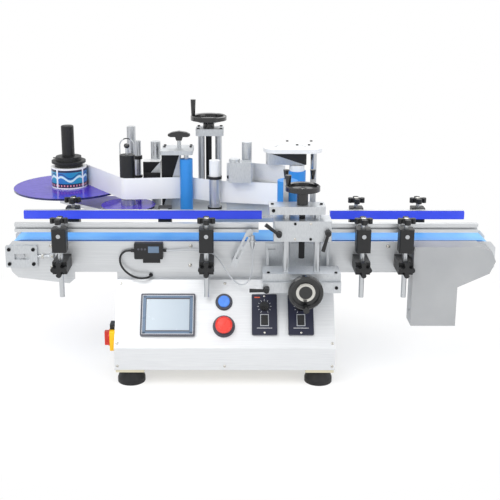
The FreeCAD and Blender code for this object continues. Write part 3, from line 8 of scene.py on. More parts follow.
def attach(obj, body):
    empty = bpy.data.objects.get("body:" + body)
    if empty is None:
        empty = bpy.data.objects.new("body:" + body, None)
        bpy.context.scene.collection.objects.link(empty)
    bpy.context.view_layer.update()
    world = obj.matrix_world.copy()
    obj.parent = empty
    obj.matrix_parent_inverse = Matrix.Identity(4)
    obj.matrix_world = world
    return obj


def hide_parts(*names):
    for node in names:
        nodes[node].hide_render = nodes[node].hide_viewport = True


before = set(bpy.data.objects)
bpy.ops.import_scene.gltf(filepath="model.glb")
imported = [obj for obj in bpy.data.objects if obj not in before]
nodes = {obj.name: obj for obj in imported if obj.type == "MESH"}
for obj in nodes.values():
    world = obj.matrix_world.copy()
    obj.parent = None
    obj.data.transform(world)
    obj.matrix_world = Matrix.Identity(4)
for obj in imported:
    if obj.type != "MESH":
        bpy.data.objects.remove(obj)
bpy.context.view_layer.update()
print("frame loaded:", len(nodes), "nodes")

# The conveyor's middle on the floor plan and the slanted panel's fold, in millimetres.
layout = {
    "middle": (26.5, -108.0),
    "fold": (-61.0, -155.0, 97.0),
    "slant": math.atan(95 / 137),
    "frontPlate": -51.0,
    "rearPlate": 51.0,
}
# Where the upright pieces stand, in millimetres from the conveyor's middle.
stations = {
    "reel": (-490, 287), "brake": (-314, 150), "feed": (-161, 130), "guide": (-88, 94), "tee": (-181, 170),
    "leftPost": (-318, 290), "ringPost": (-295, 234), "rightPost": (-247, 230), "column": (-107, 260),
    "cross": (123, -191.5), "lift": (117, -124), "sensor": (4, -92),
}


def at(x, y, z):
    # A point measured from the conveyor's middle, in millimetres, as metres in the row frame.
    return Vector((x + layout["middle"][0], y + layout["middle"][1], z)) / 1000


def onPanel(across, up, out=0.0):
    slant = layout["slant"]
    x, y, z = layout["fold"]
    y += up * math.sin(slant) - out * math.cos(slant)
    z += up * math.cos(slant) + out * math.sin(slant)
    return at(x + across, y, z)


def facing(place, outward, turn=0.0):
    # Puts a fitting's own Z along outward, turned about it by some degrees.
    spin = Matrix.Rotation(math.radians(turn), 4, "Z")
    return Matrix.Translation(place) @ Vector(outward).to_track_quat("Z", "Y").to_matrix().to_4x4() @ spin


panelOut = (0, -math.cos(layout["slant"]), math.sin(layout["slant"]))
frontOut = (0, -1, 0)
rearOut = (0, 1, 0)
upward = (0, 0, 1)


def toLinear(hexColour, alpha=1.0):
    parts = [int(hexColour[i:i + 2], 16) / 255 for i in (1, 3, 5)]
    return tuple(c / 12.92 if c <= 0.04045 else ((c + 0.055) / 1.055) ** 2.4 for c in parts) + (alpha,)


def addNode(tree, kind, settings=None, links=None):
    # Adds one shader node, sets what is named in settings and joins the sockets named in links.
    node = tree.nodes.new("ShaderNode" + kind)
    for name, value in (settings or {}).items():
        if isinstance(name, int) or name in node.inputs:
            node.inputs[name].default_value = value
        else:
            setattr(node, name, value)
    for name, socket in (links or {}).items():
        tree.links.new(socket, node.inputs[name])
    return node


def startMaterial(name, colour, roughness, metallic=0.0, **more):
    material = bpy.data.materials.new(name)
    material.use_nodes = True
    tree = material.node_tree
    shader = tree.nodes["Principled BSDF"]
    shader.inputs["Base Color"].default_value = toLinear(colour)
    shader.inputs["Roughness"].default_value = roughness
    shader.inputs["Metallic"].default_value = metallic
    for word, value in more.items():
        shader.inputs[word.replace("_", " ")].default_value = value
    return material, tree, shader


def place(tree, scale=(1000, 1000, 1000), shift=(0, 0, 0), turn=(0, 0, 0)):
    # Object coordinates in millimetres, or in pattern repeats where scale says so.
    coordinates = addNode(tree, "TexCoord")
    return addNode(tree, "Mapping", {"Scale": scale, "Location": shift, "Rotation": turn},
                   {"Vector": coordinates.outputs["Object"]}).outputs["Vector"]


def mottle(tree, shader, sizeMm, low, high, detail=3.0, stretch=(1, 1, 1)):
    # Roughness wanders between low and high in patches of about sizeMm.
    scale = tuple(1000 / sizeMm * s for s in stretch)
    noise = addNode(tree, "TexNoise", {"Scale": 1.0, "Detail": detail}, {"Vector": place(tree, scale)})
    span = addNode(tree, "MapRange", {"From Min": 0.3, "From Max": 0.7, "To Min": low, "To Max": high},
                   {"Value": noise.outputs["Fac"]})
    tree.links.new(span.outputs["Result"], shader.inputs["Roughness"])
    return noise


def relief(tree, shader, height, depthMm, strength=1.0):
    bump = addNode(tree, "Bump", {"Distance": depthMm / 1000, "Strength": strength}, {"Height": height})
    tree.links.new(bump.outputs["Normal"], shader.inputs["Normal"])
    return bump


def tint(tree, shader, factor, first, second, low=0.3, high=0.7):
    span = addNode(tree, "MapRange", {"From Min": low, "From Max": high}, {"Value": factor})
    mix = addNode(tree, "Mix", {"data_type": "RGBA", 6: toLinear(first), 7: toLinear(second)},
                  {0: span.outputs["Result"]})
    tree.links.new(mix.outputs[2], shader.inputs["Base Color"])
    return mix


def brushedSheet(name, light, dark, low, high, metallic, stretch):
    # Sheet rubbed one way with an abrasive belt: long faint scratches that stretch its highlights.
    material, tree, shader = startMaterial(name, light, (low + high) / 2, metallic)
    marks = addNode(tree, "TexNoise", {"Scale": 1.0, "Detail": 4.0, "Roughness": 0.7},
                    {"Vector": place(tree, stretch)})
    tint(tree, shader, marks.outputs["Fac"], dark, light)
    mottle(tree, shader, 60, low, high, 2.0)
    relief(tree, shader, marks.outputs["Fac"], 0.03, 0.35)
    return material


def turnedMetal(name, colour, roughness, pitchMm, axis="Z"):
    # Bar turned on a lathe: very fine rings round it, one to each feed of the tool.
    material, tree, shader = startMaterial(name, colour, roughness, 1.0)
    wave = addNode(tree, "TexWave", {"wave_type": "BANDS", "bands_direction": axis, "Scale": 1.0,
                                     "Distortion": 0.4, "Detail": 1.0},
                   {"Vector": place(tree, (314 / pitchMm,) * 3)})
    mottle(tree, shader, 8, roughness * 0.8, roughness * 1.3)
    relief(tree, shader, wave.outputs["Fac"], 0.02, 0.25)
    return material


def mouldedPlastic(name, colour, low, high, grainMm, depthMm, **more):
    # Injection moulded from a spark-eroded tool: an even fine pebble that spreads its highlights.
    material, tree, shader = startMaterial(name, colour, (low + high) / 2, **more)
    grain = addNode(tree, "TexNoise", {"Scale": 1.0, "Detail": 2.0},
                    {"Vector": place(tree, (1000 / grainMm,) * 3)})
    mottle(tree, shader, 25, low, high)
    relief(tree, shader, grain.outputs["Fac"], depthMm, 0.4)
    return material


def powderCoat(name, light, dark, roughness, grainMm=1.6):
    # Powder paint baked on sheet: a soft orange peel, drawn a little coarse so that it shows.
    material, tree, shader = startMaterial(name, light, roughness, 0.0, Coat_Weight=0.15, Coat_Roughness=0.3)
    peel = addNode(tree, "TexNoise", {"Scale": 1.0, "Detail": 2.0},
                   {"Vector": place(tree, (1000 / grainMm,) * 3)})
    wide = mottle(tree, shader, 90, roughness * 0.85, roughness * 1.15)
    tint(tree, shader, wide.outputs["Fac"], light, dark)
    relief(tree, shader, peel.outputs["Fac"], 0.05, 0.35)
    return material


def acrylicViolet():
    # Cast acrylic disc, laser cut: it lets light through, so the colour glows. The deeper colour at its cut
    # edge is painted shade, a darker navy rim finish given in dress.
    material, tree, shader = startMaterial("castAcrylicViolet", "#4E36C6", 0.12, 0.0,
                                           Transmission_Weight=0.12, IOR=1.49)
    scuffs = mottle(tree, shader, 14, 0.08, 0.22, 5.0, (1, 1, 0.2))
    tint(tree, shader, scuffs.outputs["Fac"], "#5038C8", "#432CB6")
    return material


def labelPrint():
    # Printed film wound on a core: white margins, a navy foot with coral dots, a teal field with a pale wave.
    roll = {"low": 385.0, "labels": 4}
    material, tree, shader = startMaterial("printedLabelFilm", "#F4F6F8", 0.32, 0.0, Coat_Weight=0.4,
                                           Coat_Roughness=0.15)
    centre = at(*stations["reel"], roll["low"])
    fromCentre = place(tree, (1000,) * 3, tuple(-1000 * c for c in centre))
    where = addNode(tree, "SeparateXYZ", None, {0: fromCentre})
    angle = addNode(tree, "Math", {"operation": "ARCTAN2"}, {0: where.outputs["Y"], 1: where.outputs["X"]})
    count = addNode(tree, "Math", {"operation": "MULTIPLY_ADD", 1: roll["labels"] / math.tau, 2: 8.35},
                    {0: angle.outputs[0]})
    along = addNode(tree, "Math", {"operation": "FRACT"}, {0: count.outputs[0]})
    height = where.outputs["Z"]

    def band(value, low, high):
        middle = addNode(tree, "Math", {"operation": "SUBTRACT", 1: (low + high) / 2}, {0: value})
        size = addNode(tree, "Math", {"operation": "ABSOLUTE"}, {0: middle.outputs[0]})
        within = addNode(tree, "Math", {"operation": "LESS_THAN", 1: (high - low) / 2}, {0: size.outputs[0]})
        return within.outputs[0]

    def over(below, colour, mask):
        mix = addNode(tree, "Mix", {"data_type": "RGBA", 7: toLinear(colour)}, {0: mask, 6: below})
        return mix.outputs[2]

    def both(first, second):
        return addNode(tree, "Math", {"operation": "MULTIPLY"}, {0: first, 1: second}).outputs[0]

    inside = band(along.outputs[0], 0.035, 0.965)
    swell = addNode(tree, "Math", {"operation": "MULTIPLY", 1: math.tau * 1.5}, {0: along.outputs[0]})
    sine = addNode(tree, "Math", {"operation": "SINE"}, {0: swell.outputs[0]})
    crest = addNode(tree, "Math", {"operation": "MULTIPLY_ADD", 1: -6.0}, {0: sine.outputs[0], 2: height})
    field = addNode(tree, "Mix", {"data_type": "RGBA", 6: toLinear("#1D6FC2"), 7: toLinear("#1FA3BE")},
                    {0: along.outputs[0]}).outputs[2]
    field = over(field, "#D8F0F4", band(crest.outputs[0], 25.0, 31.0))
    field = over(field, "#163A86", band(crest.outputs[0], 34.0, 37.0))
    field = over(field, "#141B3A", band(height, 4.0, 15.0))
    beads = addNode(tree, "Math", {"operation": "MULTIPLY", 1: 9.0}, {0: along.outputs[0]})
    bead = addNode(tree, "Math", {"operation": "FRACT"}, {0: beads.outputs[0]})
    field = over(field, "#F0A0A8", both(band(bead.outputs[0], 0.3, 0.75), band(height, 7.0, 12.0)))
    field = over(field, "#20264A", band(height, 46.0, 52.0))
    printed = both(inside, band(height, 4.0, 52.0))
    final = addNode(tree, "Mix", {"data_type": "RGBA", 6: toLinear("#F6F7F8")}, {0: printed, 7: field})
    tree.links.new(final.outputs[2], shader.inputs["Base Color"])
    return material


def screenFace():
    # Printed polyester sheet over the display: a blue-grey surround and a pale backlit window, with painted
    # shade that darkens it from left to right.
    material, tree, shader = startMaterial("printedPolyesterScreen", "#C9D4DC", 0.22, 0.0, Coat_Weight=0.6,
                                           Coat_Roughness=0.08)
    screenPaintedShade = addNode(tree, "SeparateXYZ", None, {0: place(tree, (9, 9, 9))})
    # Painted shade: the sheet's colour darkens along X, lighter at the left and darker towards the right.
    tint(tree, shader, screenPaintedShade.outputs["X"], "#C2CED8", "#A9B7C4", -1.8, -0.6)
    mottle(tree, shader, 30, 0.18, 0.28)
    return material


def conveyorBelt():
    # Two-ply PVC belt, calendered: a satin cover with a faint woven print from the ply below.
    material, tree, shader = startMaterial("calenderedPvcBelt", "#6CB8F8", 0.42, 0.0, Coat_Weight=0.1,
                                           Coat_Roughness=0.3)
    weave = addNode(tree, "TexWave", {"bands_direction": "X", "Scale": 1.0, "Distortion": 0.6},
                    {"Vector": place(tree, (157, 157, 157))})
    wide = mottle(tree, shader, 70, 0.36, 0.5)
    tint(tree, shader, wide.outputs["Fac"], "#63B0F4", "#7CC2FA")
    relief(tree, shader, weave.outputs["Fac"], 0.03, 0.2)
    return material


print("materials: metals")
finishes = {
    # Stainless sheet, belt grained: silvery white with faint level scratches.
    "grainedStainless": brushedSheet("grainedStainless", "#DDDFE1", "#CDD0D3", 0.34, 0.46, 0.55,
                                     (12, 900, 900)),
    "panelStainless": brushedSheet("panelStainless", "#E4E6E8", "#D8DADD", 0.36, 0.48, 0.45, (12, 700, 700)),
    # Extruded aluminium, clear anodised: fine draw lines along its length and a soft satin.
    "anodisedAluminium": brushedSheet("anodisedAluminium", "#DCDEE0", "#C8CBCE", 0.30, 0.42, 0.7,
                                      (8, 1100, 1100)),
    # Aluminium plate, milled then blasted: an even pale satin without direction.
    "milledAluminium": brushedSheet("milledAluminium", "#D2D5D8", "#BFC3C7", 0.32, 0.45, 0.75,
                                    (400, 400, 120)),
    "groundSteel": turnedMetal("groundSteel", "#CBCED1", 0.34, 0.8),
    "crossSteel": turnedMetal("crossSteel", "#BFC2C6", 0.22, 0.8, "Y"),
    # Nickel plated steel: bright with a warm edge, for small screws.
    "nickelPlate": turnedMetal("nickelPlate", "#D4D2CC", 0.18, 0.5),
    # Phosphated and oiled steel: nearly black with a low sheen.
    "blackOxide": mouldedPlastic("blackOxide", "#1C1D20", 0.34, 0.5, 0.5, 0.02, metallic=0.6),
    "motorEnamel": powderCoat("motorEnamel", "#3A3D42", "#33363A", 0.4),
    "coverPowder": powderCoat("coverPowder", "#A6A8AA", "#9C9EA1", 0.42),
    "creamPowder": powderCoat("creamPowder", "#D9D2B8", "#CFC8AE", 0.45),
    "whitePowder": powderCoat("whitePowder", "#ECEDEE", "#E2E4E6", 0.4),
}
print("materials: plastics and rubber")
finishes.update({
    # Glass-filled nylon, moulded with a fine pebble: dull black knobs.
    "filledNylon": mouldedPlastic("filledNylon", "#17181A", 0.38, 0.52, 0.9, 0.05),
    # Phenolic resin, pressed and polished: glossy black rims and grips.
    "phenolicBlack": mouldedPlastic("phenolicBlack", "#101113", 0.16, 0.26, 3.0, 0.01, Coat_Weight=0.5),
    "absCharcoal": mouldedPlastic("absCharcoal", "#4C4D57", 0.36, 0.5, 0.8, 0.04),
    "absNavy": mouldedPlastic("absNavy", "#171B33", 0.3, 0.44, 0.8, 0.03),
    "absYellow": mouldedPlastic("absYellow", "#FFC400", 0.25, 0.36, 1.0, 0.02),
    "absRed": mouldedPlastic("absRed", "#CC2E1E", 0.22, 0.32, 1.0, 0.02),
    "absStopRed": mouldedPlastic("absStopRed", "#EE4338", 0.22, 0.32, 1.0, 0.02),
    "absBlue": mouldedPlastic("absBlue", "#4C8CEE", 0.2, 0.3, 1.0, 0.01, Coat_Weight=0.4),
    # Slippery polyethylene strip, planed: waxy deep blue.
    "waxyPolyethylene": mouldedPlastic("waxyPolyethylene", "#3E50DE", 0.3, 0.42, 2.0, 0.02),
    # Silicone sleeve, ground true: soft blue that dulls the light.
    "groundSilicone": mouldedPlastic("groundSilicone", "#2E8CDC", 0.42, 0.56, 0.7, 0.03),
    "nitrileRubber": mouldedPlastic("nitrileRubber", "#141416", 0.55, 0.7, 0.8, 0.05),
    "footRubber": mouldedPlastic("footRubber", "#19191B", 0.5, 0.66, 1.2, 0.08),
    "softPvc": mouldedPlastic("softPvc", "#15161A", 0.4, 0.5, 0.6, 0.02),
    "greyPvc": mouldedPlastic("greyPvc", "#B9BDC2", 0.38, 0.48, 0.6, 0.02),
    "whiteLiner": mouldedPlastic("whiteLiner", "#F3F4F5", 0.34, 0.44, 1.5, 0.01, Coat_Weight=0.25),
    "whiteInk": mouldedPlastic("whiteInk", "#E8EAEE", 0.45, 0.55, 1.0, 0.005),
    # Dark navy for the acrylic discs' rims: painted shade for the deeper colour that light gives the cut
    # edge.
    "acrylicRimPaintedShade": mouldedPlastic("acrylicRimPaintedShade", "#1B1E62", 0.2, 0.3, 1.5, 0.01, Coat_Weight=0.3),
    "castAcrylicViolet": acrylicViolet(),
    "printedLabelFilm": labelPrint(),
    "printedPolyesterScreen": screenFace(),
    "screenSurround": mouldedPlastic("screenSurround", "#5F7690", 0.26, 0.34, 1.0, 0.01, Coat_Weight=0.4),
    "calenderedPvcBelt": conveyorBelt(),
    "orangeInk": mouldedPlastic("orangeInk", "#E0562C", 0.4, 0.5, 1.0, 0.005),
    # Darker blue for the belt's side faces: painted shade on the faces turned sideways.
    "beltSidePaintedShade": mouldedPlastic("beltSidePaintedShade", "#3C78C8", 0.4, 0.5, 1.0, 0.02),
})


def dress(node, finish, *zones):
    # Gives a node its finish. Each zone is (finish, test of a face's middle and normal), first match wins.
    mesh = nodes[node].data
    mesh.materials.clear()
    mesh.materials.append(finishes[finish])
    for word, _ in zones:
        mesh.materials.append(finishes[word])
    for face in mesh.polygons:
        middle = Vector(face.center) * 1000
        middle.x -= layout["middle"][0]
        middle.y -= layout["middle"][1]
        face.material_index = 0
        for number, (_, test) in enumerate(zones):
            if test(middle, face.normal):
                face.material_index = number + 1
                break


def far(middle, station):
    # How far a face stands from the upright axis of a station.
    x, y = stations[station]
    return math.hypot(middle.x - x, middle.y - y)


plainNodes = {
    "cabinet_shell": "grainedStainless", "front_panel": "panelStainless", "base_plate": "creamPowder",
    "leveling_feet": "footRubber", "touch_screen_glass": "printedPolyesterScreen",
    "main_switch_handle": "absRed", "start_button": "absBlue",
    "estop_button": "absStopRed", "speed_knob_left": "phenolicBlack", "speed_knob_right": "phenolicBlack",
    "rocker_left": "filledNylon", "rocker_right": "filledNylon", "drive_cover": "coverPowder",
    "conveyor_motor": "motorEnamel", "sensor_amplifier": "filledNylon", "cross_lever": "filledNylon",
    "lever_left": "filledNylon", "lever_right": "filledNylon", "slide_bracket": "milledAluminium",
    "head_plate": "anodisedAluminium", "label_web": "whiteLiner", "label_roll": "printedLabelFilm",
}
for node, finish in plainNodes.items():
    dress(node, finish)

# Some nodes hold pieces of several materials. Each test picks the faces of one of them by their place: m is a
# face's middle in millimetres from the conveyor's middle and the floor, and n is its normal.
dress("touch_screen_housing", "absCharcoal")
dress("panel_bezels", "absNavy", ("absCharcoal", lambda m, n: m.x < -10))
dress("main_switch_plate", "absYellow", ("filledNylon", lambda m, n: m.z > 131))
dress("conveyor_frame", "anodisedAluminium")
# The belt's side faces, picked by their normal, get a darker blue: painted shade.
dress("conveyor_belt", "calenderedPvcBelt", ("beltSidePaintedShade", lambda m, n: abs(n.y) > 0.9))
dress("belt_tensioners", "milledAluminium")
dress("tail_roller", "crossSteel")
dress("drive_roller", "crossSteel")
dress("conveyor_supports", "filledNylon", ("anodisedAluminium", lambda m, n: m.z < 251 and abs(m.y) < 49),
      ("groundSteel", lambda m, n: 100 < abs(m.y) and abs(n.y) < 0.5 and abs(abs(m.y) - 118) < 2))
for side in ("near_left", "near_right", "far_left", "far_right"):
    dress(side + "_rail", "anodisedAluminium",
          ("waxyPolyethylene", lambda m, n: abs(m.y) < 54.2 or (abs(m.y) < 72 and 160 < m.x < 188.9)),
          ("crossSteel", lambda m, n: abs(m.y) > 71.5))
    dress(side + "_posts", "filledNylon", ("groundSteel", lambda m, n: m.z < 317.9),
          ("groundSteel", lambda m, n: 374.5 < m.z < 385.5 and abs(n.z) < 0.5))
dress("sensor_mount", "milledAluminium", ("groundSteel", lambda m, n: far(m, "sensor") < 9))
dress("column_frame", "milledAluminium", ("groundSteel", lambda m, n: 247 < m.z < 532.5))
dress("column_handwheel", "phenolicBlack", ("blackOxide", lambda m, n: far(m, "column") < 12 and m.z < 560))
dress("head_housings", "milledAluminium",
      ("groundSteel", lambda m, n: far(m, "leftPost") < 13 or far(m, "rightPost") < 13.5),
      ("nitrileRubber", lambda m, n: far(m, "ringPost") < 12 and 470.9 < m.z < 480.1),
      ("nitrileRubber", lambda m, n: far(m, "ringPost") < 12 and 420.9 < m.z < 427.1),
      ("groundSteel", lambda m, n: far(m, "ringPost") < 12),
      ("whitePowder", lambda m, n: abs(m.z - 473) < 0.6 and -277.5 < m.x < -231.5 and 184.5 < m.y < 221.5),
      ("blackOxide", lambda m, n: m.x < -52 and abs(m.z - 454) < 5))
dress("peel_plate", "panelStainless")
# The dark navy rim on both acrylic discs is painted shade for how their colour deepens at the cut edge.
dress("supply_disc", "castAcrylicViolet", ("acrylicRimPaintedShade", lambda m, n: far(m, "reel") > 149 and m.z < 386),
      ("filledNylon", lambda m, n: far(m, "reel") < 60 and m.z > 386),
      ("groundSteel", lambda m, n: m.z < 379))
dress("rewind_disc", "castAcrylicViolet", ("acrylicRimPaintedShade", lambda m, n: far(m, "brake") > 69.5),
      ("groundSteel", lambda m, n: m.z < 361))
dress("tension_roller", "filledNylon", ("phenolicBlack", lambda m, n: m.z > 517 and far(m, "brake") < 9),
      ("groundSteel", lambda m, n: m.z > 499.2), ("groundSteel", lambda m, n: m.z < 384))
dress("guide_roller", "groundSteel", ("nitrileRubber", lambda m, n: far(m, "guide") > 16),
      ("whitePowder", lambda m, n: m.z > 457))
dress("feed_roller", "groundSilicone", ("groundSteel", lambda m, n: far(m, "feed") < 7 or m.z > 492.5))
dress("pinch_knob", "phenolicBlack", ("groundSteel", lambda m, n: far(m, "tee") < 5.5 and m.z < 533))
dress("wrap_frame", "whitePowder", ("groundSteel", lambda m, n: m.z < 518.5))
dress("wrap_motor", "filledNylon", ("milledAluminium", lambda m, n: m.x < 95))
dress("wrap_roller", "groundSilicone", ("whitePowder", lambda m, n: m.z > 472.5),
      ("groundSteel", lambda m, n: m.z < 356))
dress("cross_carriage", "milledAluminium",
      ("groundSteel", lambda m, n: 279.5 < m.z < 418.5 and abs(n.z) < 0.5))
dress("cross_handwheel", "phenolicBlack", ("groundSteel", lambda m, n: m.y > -176 and abs(m.x - 123) < 8))
dress("lift_block", "milledAluminium", ("anodisedAluminium", lambda m, n: m.z > 405.5 and m.z < 486.5),
      ("phenolicBlack", lambda m, n: m.z > 486.9))
dress("lift_handwheel", "phenolicBlack", ("blackOxide", lambda m, n: m.z < 437))
dress("press_roller", "groundSilicone", ("groundSteel", lambda m, n: m.z < 407.5))
print("nodes dressed")


def skin(bm, loops, matrix, capLast=True):
    # Joins closed loops of equal length one after another into a skin, and caps the last.
    rings = [[bm.verts.new(matrix @ Vector(point)) for point in loop] for loop in loops]
    for lower, higher in zip(rings, rings[1:]):
        for i in range(len(lower)):
            j = (i + 1) % len(lower)
            bm.faces.new((lower[i], lower[j], higher[j], higher[i]))
    if capLast:
        bm.faces.new(rings[-1])
    bm.faces.new(list(reversed(rings[0])))


def ringOf(radius, height, count=24, shape=None):
    loop = []
    for step in range(count):
        angle = math.tau * step / count
        r = radius if shape is None else radius * shape(angle)
        loop.append((r * math.cos(angle), r * math.sin(angle), height))
    return loop


def hexShape(angle):
    return math.cos(math.pi / 6) / math.cos((angle % (math.pi / 3)) - math.pi / 6)


def crossShape(angle):
    return 1.0 if min(angle % (math.pi / 2), math.pi / 2 - angle % (math.pi / 2)) < 0.3 else 0.38


def capScrew(bm, matrix, radius, height):
    # Socket head cap screw, sizes in millimetres.
    r, h = radius / 1000, height / 1000
    skin(bm, [ringOf(r, 0), ringOf(r, h * 0.85), ringOf(r * 0.92, h), ringOf(r * 0.62, h, 24, hexShape),
              ringOf(r * 0.58, h * 0.45, 24, hexShape)], matrix)


def panScrew(bm, matrix, radius, height):
    # Pan head with a cross recess.
    r, h = radius / 1000, height / 1000
    skin(bm, [ringOf(r, 0), ringOf(r, h * 0.3), ringOf(r * 0.9, h * 0.7), ringOf(r * 0.68, h * 0.95),
              ringOf(r * 0.55, h, 24, crossShape), ringOf(r * 0.4, h * 0.35, 24, crossShape)], matrix)


def hexNut(bm, matrix, radius, height):
    r, h = radius / 1000, height / 1000
    skin(bm, [ringOf(r, 0, 24, hexShape), ringOf(r, h * 0.85, 24, hexShape), ringOf(r * 0.86, h),
              ringOf(r * 0.5, h), ringOf(r * 0.46, h * 0.7)], matrix)


def washer(bm, matrix, outer, inner, thick):
    a, b, t = outer / 1000, inner / 1000, thick / 1000
    rings = [ringOf(b, 0), ringOf(a, 0), ringOf(a, t * 0.8), ringOf(a * 0.97, t), ringOf(b, t)]
    made = [[bm.verts.new(matrix @ Vector(p)) for p in ring] for ring in rings]
    for lower, higher in zip(made, made[1:] + made[:1]):
        for i in range(24):
            j = (i + 1) % 24
            bm.faces.new((lower[i], lower[j], higher[j], higher[i]))


def slab(bm, matrix, long, wide, thick, edge=0.4):
    # A plate of the given millimetres with softened edges, standing on its matrix's Z 0.
    made = bmesh.ops.create_cube(bm, size=1.0)["verts"]
    for vert in made:
        vert.co = Vector((vert.co.x * long / 1000, vert.co.y * wide / 1000, (vert.co.z + 0.5) * thick / 1000))
    edges = list({e for v in made for e in v.link_edges})
    result = bmesh.ops.bevel(bm, geom=edges, offset=edge / 1000, segments=2, affect="EDGES", profile=0.6)
    verts = {v for f in result["faces"] for v in f.verts} | {v for v in made if v.is_valid}
    grown = set(verts)
    for vert in verts:
        for e in vert.link_edges:
            grown.update(e.verts)
    bmesh.ops.transform(bm, matrix=matrix, verts=list(grown))


def lathe(bm, matrix, profile, count=32):
    # A turned piece from (radius, height) pairs in millimetres.
    skin(bm, [ringOf(r / 1000, h / 1000, count) for r, h in profile], matrix)


def piece(name, bm, body, finish, smooth=True):
    mesh = bpy.data.meshes.new(name)
    bmesh.ops.recalc_face_normals(bm, faces=bm.faces)
    bm.to_mesh(mesh)
    bm.free()
    mesh.materials.append(finishes[finish])
    made = bpy.data.objects.new(name, mesh)
    bpy.context.scene.collection.objects.link(made)
    if smooth:
        mesh.shade_smooth()
        mesh.set_sharp_from_angle(angle=math.radians(35))
    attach(made, body)
    return made


def socketScrews(name, body, finish, outward, radius, height, places):
    # One piece of socket screws, each turned by its own x so that their sockets don't line up.
    bm = bmesh.new()
    for x, y, z in places:
        capScrew(bm, facing(at(x, y, z), outward, x), radius, height)
    piece(name, bm, body, finish)


def onFace(across, up, out=0.0, turn=0.0):
    return facing(onPanel(across, up, out), panelOut, turn)


def printedFrame(bm, across, up, out, reach, level, upright, thick):
    # Four strips round a rectangle on the panel. Reach is how far their middles stand from its centre.
    for dx, dy, strip in ((0, 1, level), (0, -1, level), (1, 0, upright), (-1, 0, upright)):
        slab(bm, onFace(across + dx * reach[0], up + dy * reach[1], out), *strip, thick, 0.1)


panelScrew = {"radius": 3.6, "height": 2.0, "low": 52}
bm = bmesh.new()
for across, up in ((-250, 157), (0, 157), (250, 157), (-253, 12), (253, 12)):
    panScrew(bm, onFace(across, up, 0, across), panelScrew["radius"], panelScrew["height"])
for across in (-253, 0, 253):
    spot = at(layout["fold"][0] + across, layout["fold"][1], panelScrew["low"])
    panScrew(bm, facing(spot, frontOut, across), panelScrew["radius"], panelScrew["height"])
piece("panelScrews", bm, "machine", "nickelPlate")

screen = {"across": -135, "up": 79, "thick": 8}
bm = bmesh.new()
printedFrame(bm, screen["across"], screen["up"], screen["thick"], (60, 46.6), (121, 0.9), (0.9, 94), 0.35)
piece("screenTrimLine", bm, "machine", "whiteInk", False)
bm = bmesh.new()
printedFrame(bm, screen["across"], screen["up"], screen["thick"], (55.8, 43.4), (119, 5.6), (7.4, 93), 0.3)
piece("screenSurroundPrint", bm, "machine", "screenSurround", False)

controller = {"places": (94, 180), "up": 80, "dial": 19, "rocker": -14, "thick": 7.0, "ticks": 11, "step": 30}
for hand, across in zip(("left", "right"), controller["places"]):
    middle, top = controller["up"], controller["thick"]
    bm = bmesh.new()
    for tick in range(controller["ticks"]):
        turn = controller["step"] * (tick - controller["ticks"] // 2)
        angle = math.radians(turn)
        reach, long = (15.0, 3.4) if tick % 5 else (15.6, 4.6)
        spot = (across + reach * math.sin(angle), middle + controller["dial"] + reach * math.cos(angle))
        slab(bm, onFace(*spot, top, -turn), 0.8, long, 0.25, 0.05)
    slab(bm, onFace(across, middle - 33, top), 36, 1.0, 0.25, 0.05)
    piece("dialTicks_" + hand, bm, "machine", "whiteInk", False)
    bm = bmesh.new()
    slab(bm, onFace(across - 17, middle + 41, top), 13, 2.6, 0.25, 0.05)
    piece("controllerPatch_" + hand, bm, "machine", "orangeInk", False)
    bm = bmesh.new()
    printedFrame(bm, across, middle + controller["rocker"], top, (9.3, 13.4), (20.2, 1.6), (1.6, 25.4), 0.5)
    piece("rockerOutline_" + hand, bm, "machine", "greyPvc", False)
    bm = bmesh.new()
    for dy in (-44, 44):
        panScrew(bm, onFace(across, middle + dy, top, dy), 2.6, 1.4)
    piece("controllerScrews_" + hand, bm, "machine", "nickelPlate")

bm = bmesh.new()
washer(bm, onFace(-2, 111), 20.5, 18.0, 2.4)
washer(bm, onFace(-2, 52), 26.5, 24.0, 2.4)
piece("buttonFlanges", bm, "machine", "absCharcoal")
print("panel fittings")

bm = bmesh.new()
for x, z in ((-478.5, 315.5), (-143.1, 316.2), (-144.8, 267.5), (330, 316), (-478, 262)):
    panScrew(bm, facing(at(x, layout["frontPlate"], z), frontOut, x), 4.6, 3.0)
    panScrew(bm, facing(at(x, layout["rearPlate"], z), rearOut, x), 4.6, 3.0)
piece("plateScrews", bm, "machine", "nickelPlate")

tension = {"left": -587.0, "long": 76.0, "axis": 290.7, "face": 59.0}
for tag, side, out in (("near", -1, frontOut), ("far", 1, rearOut)):
    bm = bmesh.new()
    for x in (tension["left"] + 9, tension["left"] + tension["long"] - 9):
        for z in (tension["axis"] - 18, tension["axis"] + 18):
            capScrew(bm, facing(at(x, side * tension["face"], z), out, x), 4.4, 3.2)
    piece("tensionScrews_" + tag, bm, "machine", "blackOxide")
    bm = bmesh.new()
    for x in (-501.0, -478.0):
        hexNut(bm, facing(at(x, side * 55.0, tension["axis"]), (1, 0, 0), 10), 5.6, 5.0)
    piece("tensionNuts_" + tag, bm, "machine", "nickelPlate")

railClamps = {"near_left": (-1, (-447, -104)), "near_right": (-1, (262, 362)),
              "far_left": (1, (-449, -215)), "far_right": (1, (271, 427))}
knobInsert = [(6.2, 0), (6.2, 0.7), (5.4, 1.2), (2.6, 1.2), (2.4, 0.5)]
for name, (side, places) in railClamps.items():
    bm = bmesh.new()
    for number, x in enumerate(places):
        if name != "far_left" or number == 0:
            lathe(bm, facing(at(x, side * 99, 398), upward), knobInsert, 24)
    piece(name + "_knobInserts", bm, name + "_posts", "nickelPlate")
print("conveyor fittings")

